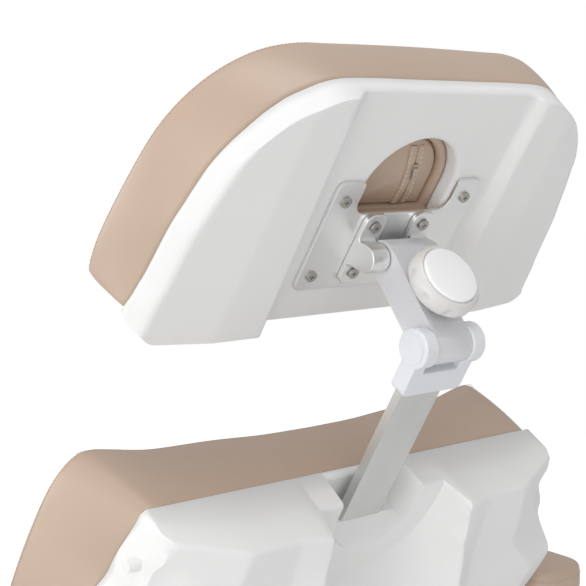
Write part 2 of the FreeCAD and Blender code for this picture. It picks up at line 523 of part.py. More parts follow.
def make_seat():
    plate = box("head_plate", (f"-{SKIRT_WIDTH} / 2", f"{SKIRT_WIDTH} / 2"),
                (f"-{SKIRT_LENGTH} / 2", f"{SKIRT_LENGTH} / 2"), (HEAD_LOW, FRAME_LOW))
    wings = box("head_wings", (f"-{FRAME_HALF}", FRAME_HALF), ("-rail_width", "rail_width"),
                (HEAD_LOW, FRAME_LOW))
    bolts = []
    holes = []
    for index, (side, end) in enumerate(((1, 1), (1, -1), (-1, 1), (-1, -1))):
        x = f"{side} * (rail_spread + rail_width / 2)"
        y = f"{end} * rail_width / 2"
        shank = rod(f"bolt_shank_{index}", "z", "bolt_radius", HEAD_LOW, f"{FRAME_LOW} + rail_wall", x, y)
        cap = rod(f"bolt_cap_{index}", "z", "bolt_head", f"{HEAD_LOW} - bolt_radius", HEAD_LOW, x, y)
        bolts.append(fuse(f"bolt_{index}", shank, cap))
        holes.append(rod(f"bolt_hole_{index}", "z", "bolt_radius + fit", f"{HEAD_LOW} - {PAST}",
                         f"{FRAME_LOW} + rail_wall + {PAST}", x, y))
    node(cut("head", fuse("head_solid", plate, wings), *holes), "lift_head")
    node(group("bolts", *bolts), "frame_bolts")

    zs = (FRAME_LOW, FRAME_TOP)
    rails = []
    for side, (low, high) in (("left", ("rail_spread", FRAME_HALF)),
                              ("right", (f"-{FRAME_HALF}", "-rail_spread"))):
        rails.append(hollow_rail(f"rail_{side}", (low, high), ("-frame_front", "frame_rear"), zs, "y"))
    beam_x = (f"-{FRAME_HALF}", FRAME_HALF)
    front = box("front_beam", beam_x, ("-frame_front", "-frame_front + rail_width"), zs)
    rear = box("rear_beam", beam_x, ("frame_rear - rail_width", "frame_rear"), zs)
    ears = []
    for side in (1, -1):
        low = f"min({side} * (torque_half + ear_gap); {side} * (torque_half + ear_gap + ear_thick))"
        span = (low, f"{low} + ear_thick")
        ears.append(box(f"ear_arm_{side + 1}", span, ("frame_rear - rail_width", "hinge_y + ear_radius"),
                        (FRAME_LOW, f"{FRAME_TOP} - ear_gap")))
        ears.append(box(f"ear_post_{side + 1}", span, ("hinge_y - ear_radius", "hinge_y + ear_radius"),
                        (FRAME_LOW, HINGE_Z)))
        ears.append(rod(f"ear_disc_{side + 1}", "x", "ear_radius", *span, "hinge_y", HINGE_Z))
    leg_y = "-(frame_front + leg_ahead)"
    leg_z = f"({FRAME_LOW} + leg_pivot)"
    lugs = []
    for index, (leg, side) in enumerate(((1, 1), (1, -1), (-1, 1), (-1, -1))):
        inner = f"({leg} * leg_x + {side} * (knuckle_half + knuckle_gap))"
        low = f"min({inner}; {inner} + {side} * lug_wall)"
        lugs.append(box(f"leg_lug_{index}", (low, f"{low} + lug_wall"),
                        (f"{leg_y} - lug_reach", "-frame_front + rail_width"),
                        (f"{leg_z} - lug_reach", f"{leg_z} + lug_reach")))
    solid = fuse("seat_weldment", *rails, front, rear, *ears, *lugs)
    bores = [rod("hinge_bore", "x", "pin_radius + fit", f"-{FRAME_HALF} - rail_width",
                 f"{FRAME_HALF} + rail_width", "hinge_y", HINGE_Z),
             rod("leg_bore", "x", "leg_pin + fit", "-seat_width / 2", "seat_width / 2", leg_y, leg_z),
             rod("drive_bore", "y", "rod_radius + crank_pin", f"frame_rear - rail_width - {PAST}",
                 f"frame_rear + {PAST}", "0", DRIVE_Z)]
    for index, (side, end) in enumerate(((1, 1), (1, -1), (-1, 1), (-1, -1))):
        bores.append(rod(f"rail_hole_{index}", "z", "bolt_radius + fit", f"{FRAME_LOW} - {PAST}",
                         f"{FRAME_LOW} + rail_wall + {PAST}", f"{side} * (rail_spread + rail_width / 2)",
                         f"{end} * rail_width / 2"))
    node(cut("seat_steel", solid, *bores), "seat_frame")

    half = "(seat_width / 2 - board_inset)"
    board = box("seat_panel", (f"-{half}", half), ("-seat_front + board_inset", "seat_rear - board_inset / 2"),
                (FRAME_TOP, SEAT_LOW))
    node(board, "seat_board")

    half = "(seat_width / 2 - tray_inset)"
    ys = ("-seat_front + board_inset", "tray_rear")
    zs = (f"{FRAME_TOP} - tray_depth", FRAME_TOP)
    block = box("tray_block", (f"-{half}", half), ys, zs)
    low = value(zs[0])
    rear = value("tray_rear")

    def under(edge, level):
        """True for an edge of the underside, apart from its open rear end."""
        flat = all(abs(v.Point.z - level) < LEVEL for v in edge.Vertexes)
        return flat and edge.CenterOfMass.y < rear - PAST

    skin = rounded("tray_skin", block, value("tray_edge"), lambda edge: under(edge, low))
    hollow = box("tray_hollow_block", (f"-{half} + tray_wall", f"{half} - tray_wall"),
                 (f"{ys[0]} + tray_wall", f"{ys[1]} + tray_wall"),
                 (f"{zs[0]} + tray_wall", f"{zs[1]} + {PAST}"))
    hollow_low = low + value("tray_wall")
    scoop = rounded("tray_hollow", hollow, value("tray_edge - tray_wall"),
                    lambda edge: under(edge, hollow_low))
    well = box("tray_well", (f"-{SKIRT_WIDTH} / 2 - sleeve_gap", f"{SKIRT_WIDTH} / 2 + sleeve_gap"),
               (f"-{SKIRT_LENGTH} / 2 - sleeve_gap", f"{SKIRT_LENGTH} / 2 + sleeve_gap"),
               (f"{zs[0]} - {PAST}", f"{zs[0]} + tray_wall + {PAST}"))
    doors = []
    for leg in (1, -1):
        reach = "(knuckle_half + knuckle_gap + lug_wall + sleeve_gap)"
        doors.append(box(f"tray_door_{leg + 1}", (f"{leg} * leg_x - {reach}", f"{leg} * leg_x + {reach}"),
                         (f"{ys[0]} - {PAST}", f"{ys[0]} + tray_edge"),
                         (f"{leg_z} - lug_reach - sleeve_gap", f"{FRAME_TOP} + {PAST}")))
    node(cut("tray", skin, scoop, well, *doors), "seat_shell")

    half, front_y, rear_y, corner = cells("seat_width", "seat_front", "seat_rear", "seat_corner")
    outline = [(-half / 2, -front_y), (half / 2, -front_y), (half / 2, rear_y), (-half / 2, rear_y)]
    low = value(SEAT_LOW)
    node(formed("seat_soft", pillow(outline, low, low + value("seat_thick"), corner)), "seat_cushion")

    pin = rod("recline_pin", "x", "pin_radius", "torque_half - rail_width", "torque_half + ear_gap + ear_thick",
              "hinge_y", HINGE_Z)
    node(both("recline_pin_pair", pin), "recline_pins")
    pin = rod("leg_pin_left", "x", "leg_pin", "leg_x - knuckle_half - knuckle_gap - lug_wall",
              "leg_x + knuckle_half + knuckle_gap + lug_wall", leg_y, leg_z)
    node(both("leg_pin_pair", pin), "leg_pins")


# Recline drive

def make_drive():
    gear = box("gear_case", ("-gear_half", "gear_half"), ("-drive_front", "-drive_front + gear_length"),
               (FRAME_LOW, f"{DRIVE_Z} + drive_radius"))
    barrel = rod("drive_barrel", "y", "drive_radius", "-drive_front", "drive_rear", "0", DRIVE_Z)
    motor = rod("drive_motor", "y", "motor_radius", "-drive_front", "0", "-motor_offset", DRIVE_Z)
    joiner = box("drive_joiner", ("-motor_offset", "0"), ("-drive_front", "-drive_front + gear_length / 2"),
                 (f"{DRIVE_Z} - motor_radius / 2", f"{DRIVE_Z} + motor_radius / 2"))
    bore = rod("drive_channel", "y", "rod_radius + fit", f"{CRANK_Y} - rod_tail - rod_travel",
               f"drive_rear + {PAST}", "0", DRIVE_Z)
    node(cut("drive", fuse("drive_solid", gear, barrel, motor, joiner), bore), "recline_actuator")

    shank = rod("rod_shank", "y", "rod_radius", f"{CRANK_Y} - rod_tail", f"{CRANK_Y} - yoke_length / 4",
                "0", DRIVE_Z)
    yoke = box("rod_yoke", ("-yoke_half", "yoke_half"),
               (f"{CRANK_Y} - yoke_length / 2", f"{CRANK_Y} + yoke_length / 2"),
               (f"{DRIVE_Z} - yoke_low", f"{DRIVE_Z} + yoke_high"))
    slot = box("rod_slot", (f"-yoke_half - {PAST}", f"yoke_half + {PAST}"),
               (f"{CRANK_Y} - crank_pin - yoke_play", f"{CRANK_Y} + crank_pin + yoke_play"),
               (f"{HINGE_Z} - crank_reach - crank_pin - yoke_play",
                f"{HINGE_Z} - crank_reach * cos(crank_swing) + crank_pin + yoke_play"))
    node(cut("push_rod", fuse("rod_solid", shank, yoke), slot), "recline_rod")


# Backrest

def back_frame_piece():
    """Welded frame: torque tube on the hinge, two uprights, top plate and the drive crank."""
    tube = rod("torque_tube", "x", "torque_radius", "-torque_half", "torque_half", "0", "0")
    deep = "(bar_plane - shell_front + panel_thick)"
    uprights = []
    for side, (low, high) in (("left", ("upright_in", "upright_in + upright_width")),
                              ("right", ("-upright_in - upright_width", "-upright_in"))):
        uprights.append(box(f"upright_{side}", (low, high), (deep, f"{deep} + upright_deep"),
                            ("0", "upright_top")))
        uprights.append(box(f"upright_foot_{side}", (low, high), ("0", f"{deep} + upright_deep"),
                            ("-torque_radius / 2", "back_low - upright_foot")))
    across = "(upright_in + upright_width)"
    plate = box("guide_plate", (f"-{across}", across), (deep, f"{deep} + guide_front"),
                ("bar_exit - guide_low", "upright_top"))
    eye = "(crank_pin + crank_wall)"
    cheeks = []
    for side in (1, -1):
        low = f"min({side} * (yoke_half + yoke_play); {side} * (yoke_half + yoke_play + crank_thick))"
        span = (low, f"{low} + crank_thick")
        cheeks.append(box(f"crank_web_{side + 1}", span, (f"-{eye}", eye), ("-crank_reach", "0")))
        cheeks.append(rod(f"crank_eye_{side + 1}", "x", eye, *span, "0", "-crank_reach"))
    across = "(yoke_half + yoke_play + crank_thick)"
    cheeks.append(rod("crank_bar", "x", "crank_pin", f"-{across}", across, "0", "-crank_reach"))
    crank = fuse("crank", *cheeks)
    crank.setExpression("Placement", bound(turn("0", "0", "-crank_mid * 1 deg")))
    bore = rod("torque_bore", "x", "pin_radius + fit", f"torque_half - rail_width - {PAST}",
               f"torque_half + {PAST}", "0", "0")
    solid = fuse("back_weldment", tube, *uprights, plate, crank)
    return cut("back_steel", solid, bore, mirrored("torque_bore_right", bore))


def shell_levels():
    """Rear shell sections from bottom to top: height, half width, side depth, ridge place and depth, middle."""
    low, rise, exit_u, drop, top = cells("shell_low", "wide_rise", "bar_exit", "wide_drop", "shell_top")
    seat, hip, top_half = cells("seat_half", "hip_half", "top_half")
    places = (("low", low, seat), ("hip", low + rise, hip), ("back", exit_u - drop, hip),
              ("top", exit_u + top, top_half))
    levels = []
    for name, height, half in places:
        levels.append((height, half, *cells(f"side_{name}", f"ridge_{name}", f"bend_{name}", f"rear_{name}")))
    return levels


def shell_section(level, gap, front):
    """Section of the rear shell at one height, moved inwards by a gap."""
    height, half, side, ridge_x, ridge_n, middle = level
    inner = value("scoop_out")
    right = [(half - gap, front), (half - gap, side - gap / 2), (ridge_x, ridge_n - gap), (inner, middle - gap)]
    outline = mirror_points(right)
    plane = value("bar_plane")
    points = [Vector(x, plane + n, height) for x, n in outline]
    return Part.makePolygon(points + points[:1])


def scoop_space(gap):
    """Space of the stepped notch round the bar, grown by a gap, in the backrest frame."""
    plane, exit_u, top = cells("bar_plane", "bar_exit", "shell_top")
    inner, outer, floor, deep, end, lip = cells(
        "scoop_in", "scoop_out", "scoop_floor", "scoop_deep", "scoop_end", "scoop_lip")
    half, back, rim, reach = cells("notch_half", "notch_back", "rear_top", "rear_back")
    lean = (outer - inner) / (rim - floor)
    open_end = reach + 3 * WELL_PAST
    rows = ((exit_u + top + WELL_PAST, floor), (exit_u - deep - gap, floor), (exit_u - end - gap, reach - lip))
    wires = []
    for height, bottom in rows:
        start = (inner + gap, bottom - gap)
        outline = mirror_points([start, (start[0] + (open_end - bottom) * lean, open_end)])
        corners = [Vector(x, plane + n, height) for x, n in outline]
        wires.append(Part.makePolygon(corners + corners[:1]))
    scoop = Part.makeLoft(wires, True, True)
    notch = Part.makeBox(2 * (half + gap), back + floor + WELL_PAST + gap, top + WELL_PAST + gap,
                         Vector(-half - gap, plane - back - gap, exit_u - gap))
    return scoop.fuse(notch)


def rear_shell():
    """Moulded rear shell of the backrest: open at the front and the bottom."""
    wall, front, plane = cells("shell_wall", "shell_front", "bar_plane")
    levels = shell_levels()
    outer = Part.makeLoft([shell_section(level, 0, -front) for level in levels], True, True)
    inner_levels = []
    for index, level in enumerate(levels):
        shift = -PAST if index == 0 else (-wall if index == len(levels) - 1 else 0)
        inner_levels.append((level[0] + shift, *level[1:]))
    inner_wires = [shell_section(level, wall, -front - WELL_PAST) for level in inner_levels]
    inner = Part.makeLoft(inner_wires, True, True)
    shell = outer.cut(inner.cut(scoop_space(wall))).cut(scoop_space(0))
    width, thick, gap, exit_u = cells("bar_width", "bar_thick", "bar_gap", "bar_exit")
    slot = Part.makeBox(width + 2 * gap, thick + 2 * gap, 4 * wall,
                        Vector(-width / 2 - gap, plane - thick - gap, exit_u - 3 * wall))
    return shell.cut(slot)


def back_section(height, half, front, rim):
    """Backrest cushion section: flat rear, drawn-in sides, bolsters either side of a shallow middle."""
    plane, rear, inner, peak = cells("bar_plane", "shell_front", "bolster_in", "bolster_half")
    tuck, swell, brow, fall, dish, flat = cells(
        "back_tuck", "back_swell", "bolster_round", "bolster_fall", "back_dish", "back_flat")
    scale = half / value("hip_half")
    right = [(half - tuck, -rear), (half + swell, -0.5 * (rear + rim)), (peak * scale + brow, -rim + fall),
             (peak * scale, -rim), (inner * scale, -front - dish), (flat, -front)]
    points = [Vector(x, plane + n, height) for x, n in mirror_points(right)]
    return Part.makePolygon(points + points[:1])


def back_cushion():
    """Backrest cushion, lofted up the back, with a rounded bottom and a top that slopes up to the shell."""
    low, mid, chest, high = cells("back_low", "back_mid", "chest_u", "back_high")
    seat, hip, top_half = cells("seat_half", "hip_half", "top_half")
    front, rim = cells("back_front", "bolster_front")
    foot_in, foot_front, foot_rim = cells("foot_in", "foot_front", "foot_rim")
    heel_rise, heel_front, heel_rim = cells("heel_rise", "heel_front", "heel_rim")
    waist_out, waist_rim, chest_front = cells("waist_out", "waist_rim", "chest_front")
    nape_drop, nape_out, nape_rim = cells("nape_drop", "nape_out", "nape_rim")
    brow_drop, brow_in, brow_front, brow_rim = cells("brow_drop", "brow_in", "brow_front", "brow_rim")
    tip_in, tip_front, tip_rim = cells("tip_in", "tip_front", "tip_rim")
    crest_rise, crest_in, crest_front, crest_rim = cells("crest_rise", "crest_in", "crest_front", "crest_rim")
    rows = ((low, seat - foot_in, front - foot_front, rim - foot_rim),
            (low + heel_rise, seat, front - heel_front, rim - heel_rim),
            (mid, seat + waist_out, front, rim - waist_rim),
            (chest, hip, front + chest_front, rim),
            (high - nape_drop, top_half + nape_out, front, rim - nape_rim),
            (high - brow_drop, top_half - brow_in, front - brow_front, rim - brow_rim),
            (high, top_half - tip_in, front - tip_front, rim - tip_rim),
            (high + crest_rise, top_half - crest_in, front - crest_front, rim - crest_rim))
    return Part.makeLoft([back_section(*row) for row in rows], True, True)


def make_backrest():
    node(back_frame_piece(), "backrest_frame", back_frame)
    deep = "(bar_plane - shell_front)"
    board = box("back_panel", ("-panel_half", "panel_half"), (deep, f"{deep} + panel_thick"),
                ("shell_low", "bar_exit - scoop_floor"))
    node(board, "backrest_board", back_frame)

    shell = formed("back_shell_mould", rear_shell())
    peg_x = "(top_half - shell_wall)"
    peg_place = ("bar_plane - bar_thick / 2", "bar_exit + peg_rise")
    peg = rod("peg", "x", "peg_radius", peg_x, f"{peg_x} + 2 * peg_out + shell_wall", *peg_place)
    peg_hole = rod("peg_hole", "x", "peg_radius + fit", f"{peg_x} - {WELL_PAST}",
                   f"{peg_x} + {4 * WELL_PAST}", *peg_place)
    bolt_hole = rod("elbow_hole", "x", "elbow_radius + bar_gap", f"hip_half - {4 * WELL_PAST}",
                    f"hip_half + {2 * WELL_PAST}", "elbow_n", "elbow_u")
    holes = [peg_hole, mirrored("peg_hole_right", peg_hole), bolt_hole, mirrored("elbow_hole_right", bolt_hole)]
    node(cut("back_shell", shell, *holes), "backrest_shell", back_frame)
    node(both("peg_pair", peg), "strap_pegs", back_frame)
    node(formed("back_soft", back_cushion()), "backrest_cushion", back_frame)

    block = box("guide_block", ("-guide_half", "guide_half"),
                ("-shell_front + panel_thick + guide_front", "guide_front"), ("-guide_low", "-guide_high"))
    slot = box("guide_slot", ("-bar_width / 2 - bar_gap", "bar_width / 2 + bar_gap"),
               ("-bar_thick - bar_gap", "bar_gap"), (f"-guide_low - {PAST}", f"-guide_high + {PAST}"))
    node(cut("guide", block, slot), "bar_guide", slot_frame)

    bolt = rod("elbow_bolt", "x", "elbow_radius", "upright_in + upright_width", "blade_x + blade_thick",
               "elbow_n", "elbow_u")
    collar = rod("elbow_washer", "x", "elbow_collar", "hip_half + bar_gap", "blade_x - bar_gap",
                 "elbow_n", "elbow_u")
    node(both("elbow_pair", fuse("elbow_piece", bolt, collar)), "armrest_pivots", back_frame)


# Headrest bar, fork and tilt arm

def make_post():
    body = doc.addObject("PartDesign::Body", "bar_body")
    outline = [("-bar_width / 2", "-bar_thick"), ("bar_width / 2", "-bar_thick"), ("bar_width / 2", "0"),
               ("-bar_width / 2", "0")]
    side = sketch(body, "bar_section", "XY_Plane", outline)
    pad(body, side, "bar_tail + bar_show + bar_socket")
    body.setExpression("Placement", bound("slot_frame.Placement * " + turn("0", "-bar_tail", "0")))
    node(body, "headrest_bar")

    middle = "(fork_set - bar_thick / 2)"
    depth = (f"{middle} - fork_radius", f"{middle} + fork_radius")
    block = box("fork_block", ("-fork_half", "fork_half"), depth, ("bar_show", "fork_pivot"))
    discs = []
    for side in (1, -1):
        low = f"min({side} * fork_gap; {side} * fork_half)"
        discs.append(rod(f"fork_disc_{side + 1}", "x", "fork_radius", low, f"{low} + fork_half - fork_gap",
                         middle, "fork_pivot"))
    cheek = box("fork_mouth_block", ("-fork_gap", "fork_gap"), (f"{depth[0]} - {PAST}", f"{depth[1]} + {PAST}"),
                ("fork_pivot", f"fork_pivot + fork_radius + {PAST}"))
    mouth = rod("fork_mouth", "x", "arm_radius + arm_clear", "-fork_gap", "fork_gap", middle, "fork_pivot")
    relief = box("fork_relief", ("-fork_gap", "fork_gap"), (f"{middle} - fork_radius - {PAST}", middle),
                 ("fork_pivot - arm_radius - arm_clear", f"fork_pivot + {PAST}"))
    socket = box("fork_socket", ("-bar_width / 2", "bar_width / 2"), ("-bar_thick", "0"),
                 (f"bar_show - {PAST}", "bar_show + bar_socket"))
    bore = rod("fork_bore", "x", "fork_pin + fit", f"-fork_half - {PAST}", f"fork_half + {PAST}",
               middle, "fork_pivot")
    seat = rod("fork_cap_seat", "x", "cap_radius + fit", "fork_half - cap_sunk", f"fork_half + {PAST}",
               middle, "fork_pivot")
    solid = fuse("fork_solid", block, *discs)
    node(cut("fork", solid, cheek, mouth, relief, socket, bore, seat, mirrored("fork_cap_seat_right", seat)),
         "bar_fork", slot_frame)
    axle = rod("fork_axle", "x", "fork_pin", "-fork_half + cap_sunk", "fork_half - cap_sunk",
               middle, "fork_pivot")
    node(axle, "fork_pin", slot_frame)
    cap = rod("fork_cap", "x", "cap_radius", "fork_half - cap_sunk", "fork_half - cap_sunk + cap_thick",
              middle, "fork_pivot")
    node(both("fork_cap_pair", cap), "fork_caps", slot_frame)

    half = ("-arm_width / 2", "arm_width / 2")
    link = box("arm_link", half, ("-arm_radius", "arm_radius"), ("0", "arm_length"))
    ends = [rod(f"arm_end_{level}", "x", "arm_radius", *half, "0", f"{level} * arm_length") for level in (0, 1)]
    bores = []
    for level, pin in ((0, "fork_pin"), (1, "clevis_pin")):
        bores.append(rod(f"arm_bore_{level}", "x", f"{pin} + fit", "-arm_width", "arm_width",
                         "0", f"{level} * arm_length"))
    stud_hole = rod("arm_stud_hole", "y", "stud_radius + fit", "arm_radius - stud_deep", f"arm_radius + {PAST}",
                    "0", "knob_up")
    node(cut("arm", fuse("arm_solid", link, *ends), *bores, stud_hole), "tilt_arm", arm_frame)
    stud = rod("stud", "y", "stud_radius", "arm_radius - stud_deep", "knob_base + stud_grip", "0", "knob_up")
    collar = rod("stud_ring", "y", "stud_collar", "arm_radius", "knob_base - bar_gap", "0", "knob_up")
    node(fuse("stud_piece", stud, collar), "clamp_stud", arm_frame)

    body = doc.addObject("PartDesign::Body", "knob_body")
    rim = sketch(body, "knob_rim", "XZ_Plane", circles=[("0", "0", "knob_radius")])
    pad(body, rim, "knob_thick", reverse=True)
    grip = sketch(body, "knob_bore", "XZ_Plane", circles=[("0", "0", "stud_radius + fit")])
    pocket(body, grip, "stud_grip + bar_gap")
    dent = sketch(body, "knob_dent", "XZ_Plane", circles=[("dent_out", "0", "dent_radius")])
    dent_pocket = pocket(body, dent, "knob_thick")
    pattern = body.newObject("PartDesign::PolarPattern", "knob_dents")
    pattern.Originals = [dent_pocket]
    pattern.Axis = (dent, ["N_Axis"])
    pattern.Angle = 360
    pattern.setExpression("Occurrences", bound("dent_count"))
    body.Tip = pattern
    body.setExpression("Placement", bound("arm_frame.Placement * " + turn("knob_base", "knob_up", "0")))
    node(body, "clamp_knob")
    face = "(knob_base + knob_thick)"
    disc = rod("knob_disc", "y", "disc_radius", face, f"{face} + disc_thick", "0", "knob_up")
    node(disc, "knob_cap", arm_frame)


# Headrest

SCREWS = [(f"{x} * screw_x", f"{u} * screw_u") for x in (1, -1) for u in (1, -1)]
LUG_SCREWS = [(f"{x} * lug_screw_x", u) for x in (1, -1) for u in ("lug_screw_high", "-lug_screw_low")]


def screws(name, places, seat):
    """Cross-head screws with their heads on a seat level."""
    pieces = []
    for index, (x, u) in enumerate(places):
        shank = rod(f"{name}_shank_{index}", "y", "screw_radius", "-screw_deep", seat, x, u)
        cap = rod(f"{name}_head_{index}", "y", "screw_head", seat, f"{seat} + screw_cap", x, u)
        sunk = (f"{seat} + screw_cap / 2", f"{seat} + screw_cap + {PAST}")
        bars = [box(f"{name}_cross_a_{index}", (f"{x} - screw_radius", f"{x} + screw_radius"), sunk,
                    (f"{u} - screw_radius / 5", f"{u} + screw_radius / 5")),
                box(f"{name}_cross_b_{index}", (f"{x} - screw_radius / 5", f"{x} + screw_radius / 5"), sunk,
                    (f"{u} - screw_radius", f"{u} + screw_radius"))]
        pieces.append(cut(f"{name}_{index}", fuse(f"{name}_solid_{index}", shank, cap), *bars))
    return group(name, *pieces)


def head_outline():
    """Rear outline of the headrest, wide at the bottom and narrower at the crown."""
    low, high, low_half, neck_half, top = cells(
        "head_low", "head_high", "head_low_half", "head_neck_half", "head_top_half")
    neck, flank, inward, drop = cells("head_neck", "head_flank", "shoulder_in", "shoulder_drop")
    return mirror_points([(low_half, -low), ((low_half + neck_half) / 2 + flank, (neck - low) / 2),
                          (neck_half, neck), (neck_half - inward, high - drop), (top, high)])


# Where the round top of the face hole bends, as a share of its half width
HOLE_BEND = 0.76


def hole_wire(grow, depth):
    """D-shaped outline of the face hole: straight sides and foot, round top."""
    half, low, apex, square, corner = cells("hole_half", "hole_low", "hole_apex", "hole_square", "hole_corner")
    side, foot, top = half + grow, low - grow, apex + grow
    shift = corner * (1 - math.sqrt(0.5))
    bend_x = HOLE_BEND * side
    bend_u = square + math.sqrt(1 - HOLE_BEND ** 2) * (top - square)

    def at(x, u):
        return Vector(x, depth, u)

    edges = [Part.LineSegment(at(corner - side, foot), at(side - corner, foot)),
             Part.Arc(at(side - corner, foot), at(side - shift, foot + shift), at(side, foot + corner)),
             Part.LineSegment(at(side, foot + corner), at(side, square)),
             Part.Arc(at(side, square), at(bend_x, bend_u), at(0, top)),
             Part.Arc(at(0, top), at(-bend_x, bend_u), at(-side, square)),
             Part.LineSegment(at(-side, square), at(-side, foot + corner)),
             Part.Arc(at(-side, foot + corner), at(shift - side, foot + shift), at(corner - side, foot))]
    return Part.Wire([edge.toShape() for edge in edges])


def hole_solid(grow, low, high):
    """Straight plug through the face hole between two depths."""
    return Part.Face(hole_wire(grow, low)).extrude(Vector(0, high - low, 0))


def head_shell_piece():
    """Moulded rear shell of the headrest: two raised wings, a middle channel and the face hole."""
    depth, channel, step, inward, wall, slope, plate, lift = cells(
        "head_shell", "channel_half", "wing_step", "wing_inset", "wall_head", "head_slope", "plate_thick",
        "collar_lift")
    outline = head_outline()
    rim = inset(outline, slope)
    ridge = inset(outline, inward)

    def ring(points, n):
        corners = [Vector(x, n, u) for x, u in points]
        return Part.makePolygon(corners + corners[:1])

    outer = Part.makeLoft([ring(outline, -depth), ring(rim, 0), ring(ridge, step)], True, True)
    inner = Part.makeLoft([ring(inset(outline, wall), -depth - PAST), ring(inset(rim, wall), -wall),
                           ring(inset(ridge, wall), step - wall)], True, True)
    low, high = cells("head_low", "head_high")
    deep = step + plate + WELL_PAST
    length = low + high + 2 * WELL_PAST
    trough = Part.makeBox(2 * channel, deep, length, Vector(-channel, -plate, -low - WELL_PAST))
    floor = Part.makeBox(2 * (channel + wall), deep + wall, length,
                         Vector(-channel - wall, -plate - wall, -low - WELL_PAST))
    hole = hole_solid(0, -depth - PAST, step + PAST)
    collar = hole_solid(wall, -depth + lift, step + PAST)
    shell = outer.cut(inner.cut(floor).cut(collar)).cut(trough).cut(hole)
    radius = value("screw_radius + fit")
    for x, u in SCREWS + LUG_SCREWS:
        foot = Vector(value(x), -plate - wall - WELL_PAST, value(u))
        shell = shell.cut(Part.makeCylinder(radius, wall + 2 * WELL_PAST, foot, Vector(0, 1, 0)))
    return shell


def make_headrest():
    body = doc.addObject("PartDesign::Body", "plate_body")
    outline = [("-plate_half", "-plate_reach"), ("plate_half", "-plate_reach"), ("plate_half", "plate_reach"),
               ("horn_in", "plate_reach"), ("horn_in", "horn_low"), ("-horn_in", "horn_low"),
               ("-horn_in", "plate_reach"), ("-plate_half", "plate_reach")]
    pad(body, sketch(body, "plate_outline", "XZ_Plane", outline), "plate_thick")
    soften(body, "plate_round", lambda edge: along(edge, "y"))
    holes = sketch(body, "plate_holes", "XZ_Plane",
                   circles=[(x, u, "screw_radius + fit") for x, u in SCREWS + LUG_SCREWS])
    pocket(body, holes, "plate_thick", reverse=True)
    body.setExpression("Placement", "head_frame.Placement")
    node(body, "mount_plate")
    node(screws("plate_screw", SCREWS, "0"), "plate_screws", head_frame)

    foot = box("clevis_foot", ("-clevis_half", "clevis_half"), ("0", "clevis_thick"),
               ("-clevis_low", "clevis_high"))
    pivot = ("pivot_stand", "-pivot_drop")
    lugs = []
    for side in (1, -1):
        low = f"min({side} * lug_in; {side} * (lug_in + lug_thick))"
        span = (low, f"{low} + lug_thick")
        lugs.append(box(f"clevis_lug_{side + 1}", span, ("0", "pivot_stand"),
                        ("-pivot_drop - lug_radius", "-pivot_drop + lug_radius")))
        lugs.append(rod(f"clevis_eye_{side + 1}", "x", "lug_radius", *span, *pivot))
    bore = rod("clevis_bore", "x", "clevis_pin + fit", f"-clevis_half - {PAST}", f"clevis_half + {PAST}",
               *pivot)
    mouth = rod("clevis_mouth", "x", "arm_radius + arm_clear", "-lug_in", "lug_in", *pivot)
    tools = [rod(f"clevis_hole_{index}", "y", "screw_radius + fit", "-1", f"clevis_thick + {PAST}", x, u)
             for index, (x, u) in enumerate(LUG_SCREWS)]
    node(cut("clevis_piece", fuse("clevis_solid", foot, *lugs), bore, mouth, *tools), "clevis", head_frame)
    node(screws("clevis_screw", LUG_SCREWS, "clevis_thick"), "clevis_screws", head_frame)
    node(rod("clevis_axle", "x", "clevis_pin", "-lug_in - lug_thick", "lug_in + lug_thick", *pivot),
         "clevis_pin", head_frame)

    node(formed("head_shell_mould", head_shell_piece()), "headrest_shell", head_frame)
    depth, thick, gap, liner, liner_back, plug_back = cells(
        "head_shell", "head_thick_soft", "plug_gap", "liner_thick", "liner_back", "plug_back")
    front = -depth - thick
    cushion = pillow(head_outline(), -depth, front, value("head_corner"), upright=False)
    cushion = cushion.cut(hole_solid(0, front - WELL_PAST, -depth + WELL_PAST))
    node(formed("head_soft", cushion), "headrest_cushion", head_frame)
    ring = hole_solid(-gap / 2, -plug_back, -liner_back)
    ring = ring.cut(hole_solid(-liner, -plug_back - PAST, -liner_back + PAST))
    node(formed("liner_ring", ring), "hole_liner", head_frame)
    edge, tuck, tip, brow, crown = cells("plug_edge", "plug_tuck", "plug_front", "plug_brow", "plug_round")
    plug = Part.makeLoft([hole_wire(-gap - tuck, -plug_back - gap / 2), hole_wire(-gap, -plug_back - edge),
                          hole_wire(-gap, front + brow), hole_wire(-gap - crown, front + tip)], True, True)
    node(formed("plug_soft", plug), "face_plug", head_frame)


# Armrests

